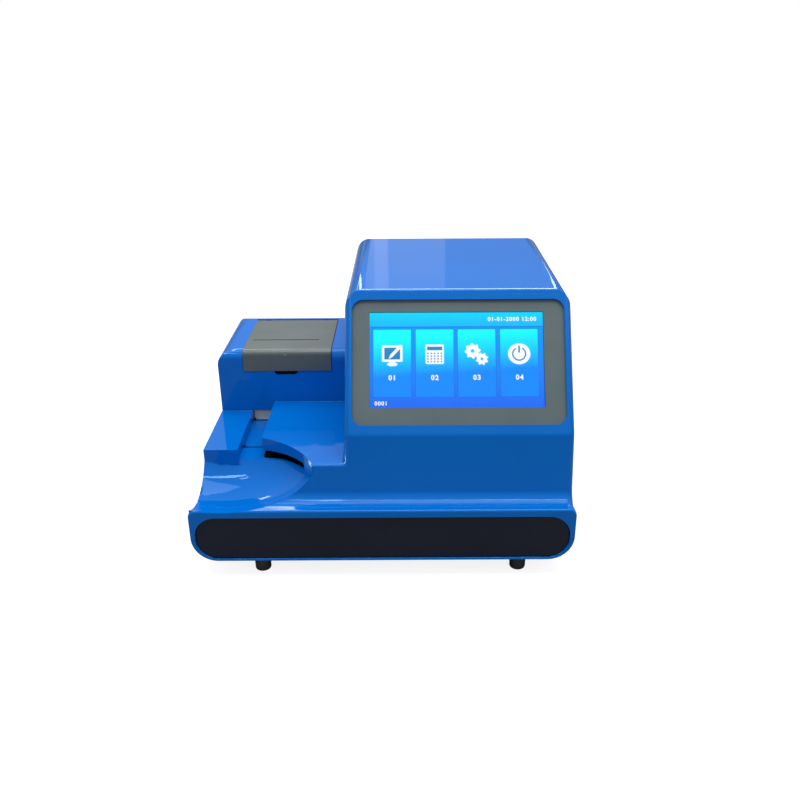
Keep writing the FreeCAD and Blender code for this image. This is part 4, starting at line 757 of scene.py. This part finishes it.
def drawGears(x, y):
    wheels = []
    for size in ("big", "small"):
        atX, atY = gears[size + "At"]
        root, tip, hole = gears[size + "Root"], gears[size + "Tip"], gears[size + "Hole"]
        wheel = discShape(size + "Gear", root, hole, teeth=gears["teeth"], tip=tip)
        wheels.append(moved(wheel, x + atX, y + atY, gears[size + "Turn"]))
    onScreen(joined("gearIcon", wheels), whiteGlow, 3)


def drawPower(x, y):
    onScreen(moved(discShape("powerIcon", power["radius"], flat=power["flat"]), x, y), whiteGlow, 3)
    ring = moved(discShape("powerRing", power["ringOuter"], power["ringInner"], power["gapHalf"]), x, y)
    stem = moved(sheetShape("powerStem", *power["bar"], power["barCorner"]), x, y + power["barUp"])
    onScreen(joined("powerMark", [ring, stem]), markGlow, 4)


for draw, x in zip((drawMonitor, drawCalculator, drawGears, drawPower), middles):
    draw(x, icons["height"])
for number, x in enumerate(middles, 1):
    words = "0%d" % number
    label = numberShape("tileNumber%d" % number, words, icons["numberSize"], icons["numberBoldness"])
    onScreen(moved(label, x, icons["numberHeight"]), whiteGlow, 3)
clockMark = numberShape("clockNumber", clock["words"], smallWords["size"], smallWords["boldness"], "RIGHT")
onScreen(moved(clockMark, screen["width"] - clock["fromRight"], clock["height"]), whiteGlow, 2)
footMark = numberShape("footNumber", footer["words"], smallWords["size"], smallWords["boldness"], "LEFT")
onScreen(moved(footMark, footer["fromLeft"], footer["height"]), whiteGlow, 1)
print("pictograms and numbers drawn")


# a small raised pip on the lid's front shows where to press

pip = {
    "place": (-0.0998, 0.0115, 0.1529),
    "tilt": 55,
    "radius": 0.0016,
    "sunk": 0.0009,
    "rimShare": 0.35,
    "dishShare": 0.4,
    "edgeShare": 0.12,
    "edgeSteps": 2,
    "smoothUnder": 40,
}


def makeLidPip():
    bpy.ops.object.select_all(action="DESELECT")
    thick = pip["sunk"] * 2
    bpy.ops.mesh.primitive_cylinder_add(vertices=32, radius=pip["radius"], depth=thick, location=(0, 0, 0))
    piece = named("lidPip")
    bpy.ops.object.mode_set(mode="EDIT")
    selectWhere(piece, "FACE", lambda at: at.z > pip["sunk"] / 2)
    bpy.ops.mesh.inset(thickness=pip["radius"] * pip["rimShare"])
    dish = pip["sunk"] * pip["dishShare"]
    bpy.ops.mesh.extrude_region_move(TRANSFORM_OT_translate={"value": (0, 0, -dish)})
    bpy.ops.object.mode_set(mode="OBJECT")
    edges = piece.modifiers.new("edges", "BEVEL")
    edges.width = pip["radius"] * pip["edgeShare"]
    edges.segments = pip["edgeSteps"]
    applyModifiers(piece)
    tilt = Matrix.Rotation(math.radians(pip["tilt"]), 4, "X")
    piece.matrix_world = Matrix.Translation(pip["place"]) @ tilt
    bpy.ops.object.transform_apply(location=True, rotation=True, scale=True)
    bpy.ops.object.shade_smooth_by_angle(angle=math.radians(pip["smoothUnder"]))
    piece.data.materials.append(slotLooks["lid_grey"])
    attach(piece, bodyOfNode["printer_lid"])


makeLidPip()
print("lid pip made")


# floor, light and camera

studio = {
    "floorHalf": 6.0,
    "floorColour": (0.30, 0.30, 0.30),
    "floorRoughness": 0.8,
    "floorShine": 0.1,
    "floorGlow": 0.86,
    "skyHigh": 0.95,
    "skyLow": 0.12,
    "skyHighFrom": 0.9,
}
lamps = {
    "tubeOver": {
        "place": (0.05, -0.45, 1.55),
        "aim": (0, -0.05, 0.1),
        "size": (1.5, 0.09),
        "power": 6.0,
    },
    "boxAbove": {
        "place": (0.1, 0.15, 1.7),
        "aim": (0, 0, 0.1),
        "size": (1.2, 0.9),
        "power": 10.0,
    },
    "stripBehind": {
        "place": (0, 1.6, 1.25),
        "aim": (0, 0.1, 0.15),
        "size": (2.4, 0.25),
        "power": 14.0,
    },
    "windowLeft": {
        "place": (-0.50, -0.30, 1.15),
        "aim": (-0.12, -0.10, 0.08),
        "size": (0.05, 0.12),
        "power": 0.3,
    },
    "panelBack": {
        "place": (-0.07, 1.7, 0.75),
        "aim": (0, 0.1, 0.2),
        "size": (0.07, 0.5),
        "power": 0.03,
    },
    "panelBackWide": {
        "place": (0.03, 1.75, 0.75),
        "aim": (0, 0.1, 0.2),
        "size": (0.22, 0.5),
        "power": 0.07,
    },
}
view = {
    "place": (0.02295, -0.767, 0.449),
    "pitch": 24.0,
    "roll": -0.3,
    "lens": 37.4,
    "sensor": 36,
    "shift": -0.01,
}


def makeFloor():
    bpy.ops.object.select_all(action="DESELECT")
    bpy.ops.mesh.primitive_plane_add(size=studio["floorHalf"] * 2, location=(0, 0, 0))
    floor = named("paleFloor")
    material, tree, shader, place = newMaterial("paleFloor", studio["floorColour"], studio["floorRoughness"])
    shader.inputs["Specular IOR Level"].default_value = studio["floorShine"]
    shader.inputs["Emission Color"].default_value = (1, 1, 1, 1)
    path = tree.nodes.new("ShaderNodeLightPath")
    seen = tree.nodes.new("ShaderNodeMath")
    seen.operation = "MAXIMUM"
    glow = tree.nodes.new("ShaderNodeMath")
    glow.operation = "MULTIPLY"
    glow.inputs[1].default_value = studio["floorGlow"]
    tree.links.new(path.outputs["Is Camera Ray"], seen.inputs[0])
    tree.links.new(path.outputs["Is Transmission Ray"], seen.inputs[1])
    tree.links.new(seen.outputs["Value"], glow.inputs[0])
    tree.links.new(glow.outputs["Value"], shader.inputs["Emission Strength"])
    floor.data.materials.append(material)


def makeSky():
    # white to the camera and through glass; for the light it is bright overhead and dimmer low down
    sky = bpy.data.worlds.new("studioSky")
    bpy.context.scene.world = sky
    sky.use_nodes = True
    tree = sky.node_tree
    back = tree.nodes["Background"]
    back.inputs["Color"].default_value = (1, 1, 1, 1)
    place = tree.nodes.new("ShaderNodeTexCoord")
    split = tree.nodes.new("ShaderNodeSeparateXYZ")
    rise = tree.nodes.new("ShaderNodeMapRange")
    rise.inputs["From Min"].default_value = 0.0
    rise.inputs["From Max"].default_value = studio["skyHighFrom"]
    rise.inputs["To Min"].default_value = studio["skyLow"]
    rise.inputs["To Max"].default_value = studio["skyHigh"]
    path = tree.nodes.new("ShaderNodeLightPath")
    seen = tree.nodes.new("ShaderNodeMath")
    seen.operation = "MAXIMUM"
    either = tree.nodes.new("ShaderNodeMath")
    either.operation = "MAXIMUM"
    tree.links.new(place.outputs["Generated"], split.inputs["Vector"])
    tree.links.new(split.outputs["Z"], rise.inputs["Value"])
    tree.links.new(path.outputs["Is Camera Ray"], seen.inputs[0])
    tree.links.new(path.outputs["Is Transmission Ray"], seen.inputs[1])
    tree.links.new(seen.outputs["Value"], either.inputs[0])
    tree.links.new(rise.outputs["Result"], either.inputs[1])
    tree.links.new(either.outputs["Value"], back.inputs["Strength"])


def addLamp(name, place, aim, size, power):
    bpy.ops.object.select_all(action="DESELECT")
    bpy.ops.object.light_add(type="AREA", location=place)
    lamp = bpy.context.object
    lamp.name = name
    lamp.data.shape = "RECTANGLE"
    lamp.data.size, lamp.data.size_y = size
    lamp.data.energy = power
    lamp.rotation_euler = (Vector(aim) - Vector(place)).to_track_quat("-Z", "Y").to_euler()
    lamp.visible_camera = False


def addCamera():
    bpy.ops.object.select_all(action="DESELECT")
    bpy.ops.object.camera_add(location=view["place"])
    camera = bpy.context.object
    camera.name = "benchView"
    camera.data.lens = view["lens"]
    camera.data.sensor_width = view["sensor"]
    camera.data.shift_x = view["shift"]
    tilt = Matrix.Rotation(math.radians(90 - view["pitch"]), 4, "X")
    roll = Matrix.Rotation(math.radians(view["roll"]), 4, "Z")
    camera.matrix_world = Matrix.Translation(view["place"]) @ tilt @ roll
    bpy.context.scene.camera = camera


makeFloor()
makeSky()
for name, lamp in lamps.items():
    addLamp(name, **lamp)
addCamera()
bpy.context.scene.view_settings.view_transform = "Standard"
print("floor, light and camera set")
